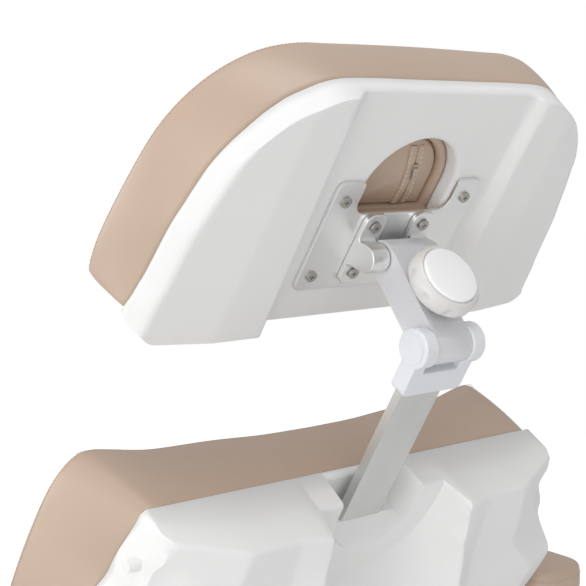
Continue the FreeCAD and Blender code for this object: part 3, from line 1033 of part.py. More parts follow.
def make_armrests():
    inner = "(blade_x + blade_thick + pad_gap)"
    low = "(pad_top - pad_thick)"
    blade = box("blade", ("blade_x", "blade_x + blade_thick"), ("-blade_front", "blade_rear"),
                (f"{low} - flange_thick - pad_gap", "blade_top"))
    shelf = box("blade_shelf", ("blade_x", f"{inner} + flange_width"), ("-blade_front", "blade_rear"),
                (f"{low} - flange_thick - pad_gap", f"{low} - pad_gap"))
    bore = rod("blade_bore", "x", "elbow_radius + fit", f"blade_x - {PAST}",
               f"blade_x + blade_thick + {PAST}", "0", "0")
    left = node(cut("blade_piece", fuse("blade_solid", blade, shelf), bore), "armrest_arm_left", elbow_frame)
    node(mirrored("blade_right", left), "armrest_arm_right")

    near, width, ahead, behind, top, thick, corner = value(inner), *cells(
        "pad_width", "pad_front", "pad_rear", "pad_top", "pad_thick", "pad_corner")
    outline = [(near, -ahead), (near + width, -ahead), (near + width, behind), (near, behind)]
    tuck, base, shoulder, brow, edge, flat = cells(
        "pad_tuck", "pad_base", "pad_shoulder", "pad_brow", "pad_edge", "pad_flat")
    rows = ((top - thick, tuck), (top - thick + base, 0), (top - shoulder, 0), (top - brow, edge), (top, flat))
    bow = value("draw_in / 2")
    wires = []
    for level, gap in rows:
        wires.append(soft_wire(inset(outline, gap), corner, bow, lambda x, y, d=level: Vector(x, y, d)))
    left = node(formed("pad_soft", Part.makeLoft(wires, True, True)), "armrest_pad_left", elbow_frame)
    node(mirrored("pad_right", left), "armrest_pad_right")


# Leg rests

def make_legs():
    lefts = []
    knuckle = rod("knuckle", "x", "knuckle_radius", "leg_x - knuckle_half", "leg_x + knuckle_half", "0", "0")
    half = "(channel_width / 2)"
    channel = box("leg_channel", (f"leg_x - {half}", f"leg_x + {half}"), ("-channel_length", "0"),
                  ("-channel_height / 2", "channel_height / 2"))
    inside = box("leg_channel_bore", (f"leg_x - {half} + channel_wall", f"leg_x + {half} - channel_wall"),
                 (f"-channel_length - {PAST}", "-knuckle_radius - channel_wall"),
                 ("-channel_height / 2 + channel_wall", "channel_height / 2 - channel_wall"))
    bore = rod("knuckle_bore", "x", "leg_pin + fit", f"leg_x - knuckle_half - {PAST}",
               f"leg_x + knuckle_half + {PAST}", "0", "0")
    stud_hole = rod("grip_hole", "x", "grip_stud + fit", f"leg_x + {half} - channel_wall - {PAST}",
                    f"leg_x + {half} + {PAST}", "-grip_y", "0")
    beam = cut("leg_beam", fuse("leg_beam_solid", knuckle, channel), inside, bore, stud_hole)
    lefts.append((beam, "leg_carrier"))

    reach = f"({half} - channel_wall - slider_fit)"
    thick = "(channel_height / 2 - channel_wall - slider_fit)"
    bar = box("slider_bar", (f"leg_x - {reach}", f"leg_x + {reach}"), ("-slider_end", "-slider_start"),
              (f"-{thick}", thick))
    carry = box("slider_plate", ("leg_x - carry_half", "leg_x + carry_half"), ("-slider_end", "-carry_start"),
                (f"{thick} - {PAST}", "leg_rise"))
    lefts.append((fuse("slider", bar, carry), "leg_slider"))

    x_low, x_high = "leg_x - leg_width / 2 + leg_inset", "leg_x + leg_width / 2 - leg_inset"
    slab = box("leg_slab", (x_low, x_high), ("-leg_start - leg_length + leg_inset", "-leg_start - leg_inset"),
               ("leg_rise", "leg_rise + leg_tray"))
    posts = rounded("leg_slab_posts", slab, value("leg_corner - leg_inset"), lambda edge: along(edge, "z"))
    low = value("leg_rise")
    skin = rounded("leg_slab_skin", posts, value("leg_tray * 3 / 5"),
                   lambda edge: all(abs(v.Point.z - low) < LEVEL for v in edge.Vertexes))
    lefts.append((skin, "leg_shell"))

    x, width, start, length, rise, tray, soft, corner = cells(
        "leg_x", "leg_width", "leg_start", "leg_length", "leg_rise", "leg_tray", "leg_soft", "leg_corner")
    outline = [(x - width / 2, -start - length), (x + width / 2, -start - length),
               (x + width / 2, -start), (x - width / 2, -start)]
    cushion = pillow(outline, rise + tray, rise + tray + soft, corner)
    lefts.append((formed("leg_soft_form", cushion), "leg_cushion"))

    grip_x = f"(leg_x + {half} + grip_gap)"
    grip = rod("leg_grip", "x", "grip_radius", grip_x, f"{grip_x} + grip_length", "-grip_y", "0")
    stud = rod("leg_grip_stud", "x", "grip_stud", f"leg_x + {half} - channel_wall", grip_x, "-grip_y", "0")
    lefts.append((fuse("leg_grip_piece", grip, stud), "leg_knob"))
    for item, name in lefts:
        left = node(item, name + "_left", leg_frame)
        node(mirrored(name + "_right_piece", left), name + "_right")


make_stand()
make_column()
make_seat()
make_drive()
make_backrest()
make_post()
make_headrest()
make_armrests()
make_legs()
doc.recompute()

faults = [item.Name for item in doc.Objects if {"Invalid", "Error"} & set(item.State)]
for item in PARTS:
    if item.Shape.isNull() or not item.Shape.isValid() or not item.Shape.Solids:
        faults.append(item.Label)
if faults:
    raise RuntimeError("pieces that failed: " + ", ".join(faults))
os.makedirs("parts", exist_ok=True)
for item in PARTS:
    item.Shape.exportStep(f"parts/{item.Label}.step")
print(len(PARTS), "pieces written")
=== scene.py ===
import json
import math

import bmesh
import bpy
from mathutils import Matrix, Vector
from mathutils.geometry import delaunay_2d_cdt


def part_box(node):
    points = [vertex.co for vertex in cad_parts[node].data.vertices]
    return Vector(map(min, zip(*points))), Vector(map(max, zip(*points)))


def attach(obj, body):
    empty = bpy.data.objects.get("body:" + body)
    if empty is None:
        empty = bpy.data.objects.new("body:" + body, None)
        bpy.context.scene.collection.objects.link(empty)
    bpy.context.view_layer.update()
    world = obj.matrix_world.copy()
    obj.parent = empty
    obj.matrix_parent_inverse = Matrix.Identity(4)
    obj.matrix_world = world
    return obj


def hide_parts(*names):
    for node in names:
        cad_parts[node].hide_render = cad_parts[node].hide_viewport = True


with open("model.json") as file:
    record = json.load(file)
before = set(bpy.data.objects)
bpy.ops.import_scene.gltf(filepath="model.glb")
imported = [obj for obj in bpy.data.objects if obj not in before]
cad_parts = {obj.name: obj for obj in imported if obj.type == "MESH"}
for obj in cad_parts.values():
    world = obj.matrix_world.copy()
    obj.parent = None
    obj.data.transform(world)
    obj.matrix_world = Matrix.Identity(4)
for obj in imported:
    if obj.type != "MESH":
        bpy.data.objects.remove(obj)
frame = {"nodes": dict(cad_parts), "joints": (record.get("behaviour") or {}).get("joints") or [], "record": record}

scene = bpy.context.scene
MM = 0.001
X_AXIS = Vector((1.0, 0.0, 0.0))
SIDES = (("left", 1), ("right", -1))
joints = {joint["name"]: joint for joint in frame["joints"]}
slots = {part["node"]: part["material_slot"] for part in frame["record"]["subparts"]}


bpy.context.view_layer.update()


# Local frames: x across the chair, u up along a part, n out of its back, in millimetres

class Place:
    """A part's own frame, with its origin in metres."""

    def __init__(self, origin, back):
        self.origin = Vector(origin)
        self.back = Vector(back).normalized()
        self.up = Vector((0.0, -self.back.z, self.back.y))

    def at(self, x, u, n):
        return self.origin + MM * (x * X_AXIS + u * self.up + n * self.back)


def moved(place, u, n):
    """The same frame with its origin shifted along u and n."""
    return Place(place.at(0, u, n), place.back)


# Where the upper pivot lies in the headrest's frame, and the lower one in the backrest's
PIVOT_BACK = 21.4
PIVOT_DROP = 7.9
FORK_SET = 2.5
PIVOT_RISE = 213.1
head = Place(joints["headrest_tilt"]["pos_m"], [-value for value in joints["plug_pull"]["axis"]])
head = moved(head, PIVOT_DROP, -PIVOT_BACK)
back_up = Vector(joints["headrest_height"]["axis"])
post = Place(joints["arm_tilt"]["pos_m"], (0.0, back_up.z, -back_up.y))
back = moved(post, -PIVOT_RISE, FORK_SET)
arm = Place(joints["arm_tilt"]["pos_m"], joints["knob_turn"]["axis"])


# Curves and formulas

SPLINE_PARTS = 12


def smooth_min(a, b, width):
    """The lesser of two heights, with the crease between them rounded."""
    near = max(width - abs(a - b), 0.0) / width
    return min(a, b) - near * near * width / 4


def smooth_max(a, b, width):
    """The greater of two heights, with the crease between them rounded."""
    return -smooth_min(-a, -b, width)


def ease(value, low, high):
    """0 below low, 1 above high, with a smooth change between them."""
    share = min(max((value - low) / (high - low), 0.0), 1.0)
    return share * share * (3 - 2 * share)


def along(points, value):
    """Piecewise straight line through (place, height) points."""
    if value <= points[0][0]:
        return points[0][1]
    for (a, low), (b, high) in zip(points, points[1:]):
        if value <= b:
            return low + (high - low) * (value - a) / (b - a)
    return points[-1][1]


def spline(points, step):
    """Points at an even step along a smooth curve through a few points."""
    last = len(points) - 1
    dense = []
    for i in range(last):
        ends = [points[min(max(i + k, 0), last)] for k in (-1, 0, 1, 2)]
        p0, p1, p2, p3 = (Vector(p) for p in ends)
        for k in range(SPLINE_PARTS):
            t = k / SPLINE_PARTS
            dense.append(0.5 * (2 * p1 + (p2 - p0) * t + (2 * p0 - 5 * p1 + 4 * p2 - p3) * t ** 2
                                + (3 * p1 - p0 - 3 * p2 + p3) * t ** 3))
    dense.append(Vector(points[-1]))
    return even(dense, step)


def even(path, step=1.0, parts=0):
    """The same path with points an even step apart, or in a number of parts."""
    lengths = [0.0]
    for a, b in zip(path, path[1:]):
        lengths.append(lengths[-1] + (b - a).length)
    parts = parts or max(int(round(lengths[-1] / step)), 2)
    out = []
    k = 0
    for i in range(parts + 1):
        goal = lengths[-1] * i / parts
        while k < len(path) - 2 and lengths[k + 1] < goal:
            k += 1
        span = max(lengths[k + 1] - lengths[k], 1e-9)
        out.append(path[k].lerp(path[k + 1], (goal - lengths[k]) / span))
    return out


def arc(x, y, radius, start, end, parts):
    """Points on an arc, with its angles in degrees."""
    turns = [math.radians(start + (end - start) * i / parts) for i in range(parts + 1)]
    return [Vector((x + radius * math.cos(t), y + radius * math.sin(t))) for t in turns]


def rounded(corner_list, parts=6):
    """Closed outline through (a, b, radius) corners, each turned with its own radius."""
    out = []
    count = len(corner_list)
    for i, (a, b, radius) in enumerate(corner_list):
        corner = Vector((a, b))
        if not radius:
            out.append(corner)
            continue
        before = (Vector(corner_list[i - 1][:2]) - corner).normalized()
        after = (Vector(corner_list[(i + 1) % count][:2]) - corner).normalized()
        half = before.angle(after) / 2
        middle = corner + (before + after).normalized() * radius / math.sin(half)
        start = corner + before * radius / math.tan(half) - middle
        end = corner + after * radius / math.tan(half) - middle
        out.extend(middle + start.lerp(end, k / parts).normalized() * radius for k in range(parts + 1))
    return out


def inside(point, outline):
    """Whether a point lies within a closed outline."""
    x, y = point
    odd = False
    for a, b in zip(outline, outline[1:] + outline[:1]):
        if (a[1] > y) != (b[1] > y) and x < a[0] + (b[0] - a[0]) * (y - a[1]) / (b[1] - a[1]):
            odd = not odd
    return odd


def depth_in(point, path):
    """Distance from a point to an open path of (x, u) points."""
    best = 1e9
    p = Vector(point)
    for a, b in zip(path, path[1:]):
        edge = b - a
        share = min(max((p - a).dot(edge) / max(edge.length_squared, 1e-9), 0.0), 1.0)
        best = min(best, (p - a - share * edge).length)
    return best


def shrunk(outline, amount):
    """A closed outline moved inwards (it runs anticlockwise)."""
    count = len(outline)
    out = []
    for i, p in enumerate(outline):
        run = (outline[(i + 1) % count] - outline[i - 1]).normalized()
        out.append(p + amount * Vector((-run.y, run.x)))
    return out


def mirrored(path):
    """A path on the other side of the middle, run backwards."""
    return [Vector((-p.x, p.y)) for p in reversed(path)]


# Materials: each is worked out from noise in the part's own coordinates

def finish(name, base, rough, metallic=0.0, vary=0.03, vary_scale=9.0, grain=0.05, grain_scale=900.0,
           cells=False, stretch=(1, 1, 1), rough_vary=0.05, coat=0.0, sheen=0.0, specular=0.5, deep=0.0003):
    """Satin surface with slight changes of tone, roughness and a fine grain."""
    material = bpy.data.materials.new(name)
    material.use_nodes = True
    nodes = material.node_tree.nodes
    link = material.node_tree.links.new
    shader = nodes["Principled BSDF"]
    shader.inputs["Metallic"].default_value = metallic
    shader.inputs["Coat Weight"].default_value = coat
    shader.inputs["Coat Roughness"].default_value = 0.08
    shader.inputs["Sheen Weight"].default_value = sheen
    shader.inputs["Specular IOR Level"].default_value = specular
    place = nodes.new("ShaderNodeTexCoord")
    scale = nodes.new("ShaderNodeMapping")
    scale.inputs["Scale"].default_value = stretch
    link(place.outputs["Object"], scale.inputs["Vector"])

    tone = nodes.new("ShaderNodeTexNoise")
    tone.inputs["Scale"].default_value = vary_scale
    tone.inputs["Detail"].default_value = 4.0
    link(scale.outputs["Vector"], tone.inputs["Vector"])
    ramp = nodes.new("ShaderNodeValToRGB")
    for stop, place_on, share in zip(ramp.color_ramp.elements, (0.3, 0.7), (1 - vary, 1 + vary)):
        stop.position = place_on
        stop.color = [min(channel * share, 1.0) for channel in base] + [1.0]
    link(tone.outputs["Fac"], ramp.inputs["Fac"])
    link(ramp.outputs["Color"], shader.inputs["Base Color"])

    polish = nodes.new("ShaderNodeMapRange")
    polish.inputs["To Min"].default_value = rough - rough_vary
    polish.inputs["To Max"].default_value = rough + rough_vary
    link(tone.outputs["Fac"], polish.inputs["Value"])
    link(polish.outputs["Result"], shader.inputs["Roughness"])

    fine = nodes.new("ShaderNodeTexVoronoi" if cells else "ShaderNodeTexNoise")
    fine.inputs["Scale"].default_value = grain_scale
    link(scale.outputs["Vector"], fine.inputs["Vector"])
    bump = nodes.new("ShaderNodeBump")
    bump.inputs["Strength"].default_value = grain
    bump.inputs["Distance"].default_value = deep
    link(fine.outputs["Distance" if cells else "Fac"], bump.inputs["Height"])
    link(bump.outputs["Normal"], shader.inputs["Normal"])
    return material


SURFACES = {
    "white_shell": dict(base=(0.86, 0.86, 0.855), rough=0.42, vary=0.012, grain=0.06, grain_scale=1400),
    "taupe_vinyl": dict(base=(0.52, 0.383, 0.287), rough=0.42, vary=0.035, vary_scale=7, grain=0.16,
                        grain_scale=820, cells=True, rough_vary=0.06, sheen=0.1, specular=0.9),
    "satin_aluminium": dict(base=(0.86, 0.865, 0.855), rough=0.36, metallic=1.0, vary_scale=30,
                            grain_scale=700, stretch=(0.06, 1, 1)),
    "arm_silver": dict(base=(0.78, 0.78, 0.805), rough=0.36, metallic=0.4, vary=0.015),
    "white_enamel": dict(base=(0.80, 0.81, 0.845), rough=0.3, vary=0.01, grain=0.04, coat=0.25),
    "knob_plastic": dict(base=(0.75, 0.735, 0.725), rough=0.26, vary=0.012, grain=0.02, coat=0.3),
    "zinc_steel": dict(base=(0.78, 0.77, 0.74), rough=0.32, metallic=1.0, vary=0.06, vary_scale=60),
    "grey_steel": dict(base=(0.20, 0.205, 0.215), rough=0.5, vary=0.05, vary_scale=25, grain=0.12),
    "plywood": dict(base=(0.56, 0.41, 0.26), rough=0.6, vary=0.16, vary_scale=60, grain=0.1,
                    stretch=(0.12, 1, 1)),
    "black_plastic": dict(base=(0.022, 0.022, 0.024), rough=0.45, vary=0.1, grain=0.1),
    "black_rubber": dict(base=(0.02, 0.02, 0.02), rough=0.7, vary=0.12, grain=0.2, grain_scale=600),
    "bar_aluminium": dict(base=(0.68, 0.685, 0.675), rough=0.38, metallic=1.0, vary_scale=30,
                          grain_scale=700, stretch=(1, 0.06, 0.06)),
    "thread": dict(base=(0.54, 0.41, 0.32), rough=0.6, vary=0.08, vary_scale=300, grain=0.3,
                   grain_scale=2500),
    "pale_thread": dict(base=(0.80, 0.69, 0.57), rough=0.6, vary=0.08, vary_scale=300, grain=0.3),
    "gloss_white": dict(base=(0.96, 0.96, 0.965), rough=0.14, vary=0.006, grain=0.01, coat=0.6),
    "screw_steel": dict(base=(0.46, 0.44, 0.41), rough=0.34, metallic=0.9, vary=0.06, vary_scale=60),
    "zip_brass": dict(base=(0.52, 0.45, 0.36), rough=0.35, metallic=0.9, vary=0.08, vary_scale=200),
}
finishes = {name: finish(name, **surface) for name, surface in SURFACES.items()}
TAUPE = "taupe_vinyl"


# Making pieces

SHELL_WALL = 2.4
MESH_STEP = 6.0
STITCH_SECTIONS = ((-0.5, 0.3), (-0.32, 1.0), (0.32, 1.0), (0.5, 0.3))
STITCH_SIDES = 6


def solid(name, points, faces, body, slot, nodes=(), material=None, sharp=32.0):
    """A mesh piece that rides on a body and may stand for CAD nodes."""
    mesh = bpy.data.meshes.new(name)
    mesh.from_pydata([tuple(p) for p in points], [], faces)
    work = bmesh.new()
    work.from_mesh(mesh)
    bmesh.ops.recalc_face_normals(work, faces=work.faces)
    work.to_mesh(mesh)
    work.free()
    mesh.shade_smooth()
    mesh.set_sharp_from_angle(angle=math.radians(sharp))
    mesh.materials.append(finishes[material or slot])
    piece = bpy.data.objects.new(name, mesh)
    scene.collection.objects.link(piece)
    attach(piece, body)
    if nodes:
        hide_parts(*nodes)
    return piece


def ring_faces(first, second):
    """Quads between two closed rows of vertex numbers."""
    count = len(first)
    return [(first[i], first[(i + 1) % count], second[(i + 1) % count], second[i]) for i in range(count)]


def end_caps(numbers):
    """Faces that close the first and the last of some rows of vertex numbers."""
    return [tuple(reversed(numbers[0])), tuple(numbers[-1])]


def strips(rows):
    """Points, quads and vertex numbers of closed rows of points, joined one to the next."""
    points = [p for row in rows for p in row]
    count = len(rows[0])
    numbers = [list(range(i * count, (i + 1) * count)) for i in range(len(rows))]
    faces = [face for a, b in zip(numbers, numbers[1:]) for face in ring_faces(a, b)]
    return points, faces, numbers


def lathe(place, profile, parts, shape=None):
    """Rows of a turned piece: profile of (radius, height) about the frame's n axis."""
    rows = []
    for radius, height in profile:
        row = []
        for i in range(parts):
            turn = 2 * math.pi * i / parts
            r = shape(turn, radius, height) if shape else radius
            row.append(place.at(r * math.cos(turn), r * math.sin(turn), height))
        rows.append(row)
    return rows


def bevel(piece, width, segments=3, angle=30.0):
    """Rounds a piece's edges."""
    rounding = piece.modifiers.new("rounded_edges", "BEVEL")
    rounding.width = width * MM
    rounding.segments = segments
    rounding.limit_method = "ANGLE"
    rounding.angle_limit = math.radians(angle)
    rounding.harden_normals = True


def moulding(name, points, faces, body, node, sharp):
    """White moulded shell, with its wall inwards from the face that is seen."""
    piece = solid(name, points, faces, body, "white_shell", (node,), sharp=sharp)
    wall = piece.modifiers.new("wall", "SOLIDIFY")
    wall.thickness = SHELL_WALL * MM
    wall.offset = -1.0


def block(place, outline, low, high, axis="n"):
    """Points and faces of a flat outline given thickness along n or across x."""
    def put(p, depth):
        return place.at(p[0], p[1], depth) if axis == "n" else place.at(depth, p[0], p[1])
    points, faces, numbers = strips([[put(p, depth) for p in outline] for depth in (low, high)])
    return points, faces + end_caps(numbers)


def assembled(name, shells, body, slot, nodes, edge, sharp=32.0, material=None):
    """One piece made of several closed shells, with rounded edges."""
    points = []
    faces = []
    for more, sides in shells:
        start = len(points)
        points.extend(more)
        faces.extend(tuple(start + i for i in face) for face in sides)
    piece = solid(name, points, faces, body, slot, nodes, material=material, sharp=sharp)
    bevel(piece, edge)
    return piece


def stitches(name, path, body, length=2.7, gap=4.0, radius=0.3, look="thread"):
    """A row of thread stitches along a path of world points."""
    path = even(path, gap * MM)
    points = []
    faces = []
    for a, b in zip(path, path[1:]):
        run = (b - a).normalized()
        side = run.orthogonal().normalized()
        other = run.cross(side)
        middle = a.lerp(b, 0.5)
        rows = []
        for share, thick in STITCH_SECTIONS:
            center = middle + run * (share * length * MM)
            start = len(points)
            for k in range(STITCH_SIDES):
                turn = 2 * math.pi * k / STITCH_SIDES
                ray = math.cos(turn) * side + math.sin(turn) * other
                points.append(center + radius * thick * MM * ray)
            rows.append(list(range(start, start + STITCH_SIDES)))
        for first, second in zip(rows, rows[1:]):
            faces.extend(ring_faces(first, second))
        faces.extend(end_caps(rows))
    return solid(name, points, faces, body, TAUPE, material=look, sharp=60)


def inflate(piece, pinned, pressure=4.0, cap=4.0, frames=20):
    """Lets a pad's cover swell between its seams, as foam under tight vinyl does."""
    held = piece.vertex_groups.new(name="seams")
    held.add(pinned, 1.0, "REPLACE")
    rest = [v.co.copy() for v in piece.data.vertices]
    cloth = piece.modifiers.new("cloth", "CLOTH")
    cloth.settings.vertex_group_mass = held.name
    cloth.settings.use_pressure = True
    cloth.settings.uniform_pressure_force = pressure
    cloth.settings.effector_weights.gravity = 0.0
    cloth.settings.quality = 4
    cloth.settings.mass = 0.4
    cloth.settings.tension_stiffness = 25.0
    cloth.settings.compression_stiffness = 25.0
    cloth.settings.bending_stiffness = 2.0
    for step in range(1, frames + 1):
        scene.frame_set(step)
    shaped = piece.evaluated_get(bpy.context.evaluated_depsgraph_get())
    moves = [v.co - old for v, old in zip(shaped.data.vertices, rest)]
    piece.modifiers.remove(cloth)
    scene.frame_set(1)
    for vertex, old, move in zip(piece.data.vertices, rest, moves):
        if move.length > cap * MM:
            move = move.normalized() * cap * MM
        vertex.co = old + move
    piece.vertex_groups.remove(held)
    piece.data.update()


REAR_SHARES = (0.02, 0.2, 0.4, 0.6, 0.75, 0.87, 0.95)
HOLE_ROWS = 5
REAR_ROUND = 2.0
# Rows at the front seam, as (inset, depth behind the front): before it, in it and after it
SEAM_BEFORE, SEAM, SEAM_AFTER = (0.4, 2.2), (2.0, 0.6), (2.6, -0.8)
SIDE_END = 3.0
PANEL_INSET, PANEL_LIFT = 3.5, 1.2


def pad(name, place, rear, front, n_rear, n_front, crown, body, nodes, hole=None, swell=2.5, fill=0.8,
        side_rows=7, panel_rows=12, cap=4.0, rear_crown=0.0):
    """Boxed cushion: flat rear, boxing with a drawn-in seam at its front edge, and a crowned front panel.

    The rear and front outlines have as many points as each other. n_front may be a function of a point.
    The rows of points that come back are those of the finished cover.
    """
    depth = n_front if callable(n_front) else (lambda p: n_front)
    count = len(rear)
    middle = sum(front, Vector((0, 0))) / count
    core = hole or [middle + 0.02 * (p - middle) for p in front]
    rows = []
    pinned = []

    def add(outline, heights, pin=False):
        if pin:
            pinned.extend(range(len(rows) * count, (len(rows) + 1) * count))
        rows.append([place.at(p.x, p.y, h) for p, h in zip(outline, heights)])

    if hole:
        for i in range(HOLE_ROWS):
            share = i / HOLE_ROWS
            add(hole, [depth(p) + (n_rear - depth(p)) * share for p in hole], True)
        add(hole, [n_rear] * count, True)
        add([r.lerp(h, 0.5) for r, h in zip(rear, hole)], [n_rear] * count, True)
    else:
        for share in REAR_SHARES:
            level = n_rear + rear_crown * (1 - share ** 2)
            add([middle.lerp(p, share) for p in rear], [level] * count, True)
    add(shrunk(rear, REAR_ROUND), [n_rear] * count, True)
    add(rear, [n_rear - REAR_ROUND] * count, True)
    for i in range(1, side_rows):
        share = i / side_rows
        bulge = -swell * math.sin(math.pi * share)
        ring = shrunk([r.lerp(f, share) for r, f in zip(rear, front)], bulge)
        add(ring, [n_rear + (depth(p) + SIDE_END - n_rear) * share for p in front])
    for row in (SEAM_BEFORE, SEAM, SEAM_AFTER):
        inset, behind = row
        add(shrunk(front, inset), [depth(p) + behind for p in front], row == SEAM)
    for i in range(1, panel_rows + 1):
        share = (i / panel_rows) ** 1.25
        ring = [f.lerp(c, share) for f, c in zip(shrunk(front, PANEL_INSET), core)]
        turn = math.pi * share if hole else math.pi / 2 * min(1.0, 1.6 * share)
        rise = crown * math.sin(turn)
        add(ring, [depth(p) - PANEL_LIFT - rise for p in ring], bool(hole) and i == panel_rows)
    points, faces, numbers = strips(rows)
    if hole:
        faces.extend(ring_faces(numbers[-1], numbers[0]))
    else:
        faces.extend(end_caps(numbers))
    piece = solid(name, points, faces, body, TAUPE, nodes, sharp=75)
    inflate(piece, pinned, cap=cap)
    smoother = piece.modifiers.new("smooth", "SUBSURF")
    smoother.levels = 1
    smoother.render_levels = 1
    return [[piece.data.vertices[i].co.copy() for i in row] for row in numbers]


def relief(outline, holes, lines, dots, height):
    """Flat outline meshed with its crease lines, each point given the height of a formula."""
    points = []
    edges = []

    def chain(path, closed):
        first = len(points)
        count = len(path)
        points.extend(Vector(p) for p in path)
        edges.extend((first + i, first + (i + 1) % count) for i in range(count if closed else count - 1))

    chain(outline, True)
    for hole in holes:
        chain(hole, True)
    for line in lines:
        chain(line, False)
    points.extend(Vector(p) for p in dots)
    flat, _, triangles, *_ = delaunay_2d_cdt(points, edges, [], 1, 1e-4)
    kept = []
    for triangle in triangles:
        center = sum((flat[i] for i in triangle), Vector((0, 0))) / 3
        if not any(inside(center, hole) for hole in holes):
            kept.append(tuple(triangle))
    return [(p.x, p.y, height(p.x, p.y)) for p in flat], kept


def numbers_on(points, path):
    """The vertex numbers of a path's points in a relief."""
    known = {(round(x, 2), round(u, 2)): i for i, (x, u, _) in enumerate(points)}
    return [known[(round(p[0], 2), round(p[1], 2))] for p in path]


def grid_dots(low_x, high_x, low_u, high_u, step, keep):
    """Inner points of a relief, in staggered rows."""
    dots = []
    rows = int((high_u - low_u) / step)
    columns = int((high_x - low_x) / step)
    for j in range(1, rows):
        for i in range(columns):
            p = Vector((low_x + (i + 0.5 * (j % 2) + 0.25) * step, low_u + j * step))
            if keep(p):
                dots.append(p)
    return dots


# Headrest shell: a channel floor, a ramp up to two faceted wings, and walls down to the cushion

HEAD_REAR = -20.0
HEAD_LOW = -103.0
HEAD_TOP = 156.0
HEAD_HEEL = 22.0
CHANNEL = -4.0
RAMP_IN, RAMP_OUT = 104.0, 117.0
HEAD_SIDE = [(252, -103), (249, -79), (246.2, -55), (242.5, -38), (236.5, 7), (231.5, 28), (219, 72),
             (202, 101), (177, 130), (152, 145), (128, 154), (90, 156), (45, 156), (0, 156)]
WING_LEVEL, WING_LEAN, WING_FALL = 9.5, 0.024, 0.11
RIDGE_LOW, RIDGE_LEAN, RIDGE_RUN = 169.0, 13.0, 231.0
WALL_SLOPE, WALL_STEEPER, FOOT_SLOPE = 3.0, 5.5, 22.0
HEEL_TOP, HEEL_START = -55.0, 2.0
CORNER_START, CORNER_ROUND, CORNER_TOP = 224.0, 30.0, -80.0
HOLE_HALF, HOLE_LOW, HOLE_SPRING, HOLE_TOP = 55.0, 9.0, 50.0, 104.0
HOLE_CORNER = 9.0
HOLE_LIP = 5.0
LIP_PARTS = 5
HOLE_DEPTHS = (-14.0, -17.5, -20.5)
# Rows of mesh points along the edges: insets from the outline, and heights above its floor
EDGE_INSETS = (1.2, 2.4, 3.8, 5.4, 7.2, 9.2, 11.4, 14, 17, 20.5)
FLOOR_ROWS = (0.6, 1.2, 1.8, 2.4, 3.2, 4.2, 5.6, 7.2)
FLOOR_BAND = 9
CORNER_IN, FLOOR_END = 241, 245


def head_outline(step):
    """Closed outline of the headrest, anticlockwise from the lower right corner of the rear view."""
    left = spline(HEAD_SIDE, step)
    upper = left + mirrored(left[:-1])
    return upper + even([upper[-1], upper[0]], step / 2)[1:-1]


# Parts of a pad's outline: along its sides and top, and along its floor
UPPER, FLOOR = 84, 24


def closed_outline(upper):
    """Closed anticlockwise outline: an upper path from the lower right, then a straight floor."""
    return even(upper, parts=UPPER) + even([upper[-1], upper[0]], parts=FLOOR)[1:-1]


def hole_outline(grow=0.0):
    """Outline of the face hole: flat below, arched above, grown by an amount."""
    half = HOLE_HALF + grow
    low = HOLE_LOW - grow
    corner = HOLE_CORNER + grow
    rise = HOLE_TOP + grow - HOLE_SPRING
    arch = []
    for i in range(41):
        turn = math.pi * i / 40
        arch.append(Vector((half * math.cos(turn), HOLE_SPRING + rise * math.sin(turn))))
    lower = arc(half - corner, low + corner, corner, -90, 0, 5)
    return closed_outline(lower + arch + mirrored(lower))


side_path = spline(HEAD_SIDE, 6.0)


def ridge_x(u):
    """Where the ridge of a wing lies at a height."""
    return RIDGE_LOW - RIDGE_LEAN * (u - HEAD_LOW) / RIDGE_RUN


def head_height(x, u):
    """Rear surface of the headrest shell."""
    x = abs(x)
    inner = WING_LEVEL - WING_LEAN * u
    outer = inner - WING_FALL * (x - ridge_x(u))
    wing = smooth_min(inner, outer, 0.35)
    floor = CHANNEL + (wing - CHANNEL) * ease(x, RAMP_IN, RAMP_OUT)
    wall_slope = WALL_SLOPE + WALL_STEEPER * ease(u, 65, 115)
    wall = HEAD_REAR + wall_slope * depth_in((x, u), side_path)
    foot = HEAD_REAR + FOOT_SLOPE * (u - HEAD_LOW)
    return smooth_min(smooth_min(floor, wall, 10.0), foot, 4.0)


def heel(x, u, n):
    """The foot of the shell leans in towards the cushion, and its lower corners are rounded."""
    share = min(max((HEEL_START - n) / (HEEL_START - HEAD_REAR), 0.0), 1.0)
    lean = HEAD_HEEL * ease(-u, -HEEL_TOP, -HEAD_LOW) * share
    rise = max(abs(x) - CORNER_START, 0.0) ** 2 / CORNER_ROUND
    corner = rise * ease(-u, -CORNER_TOP, -HEAD_LOW) * ease(n, -12, 6)
    return x, u + lean + corner, n


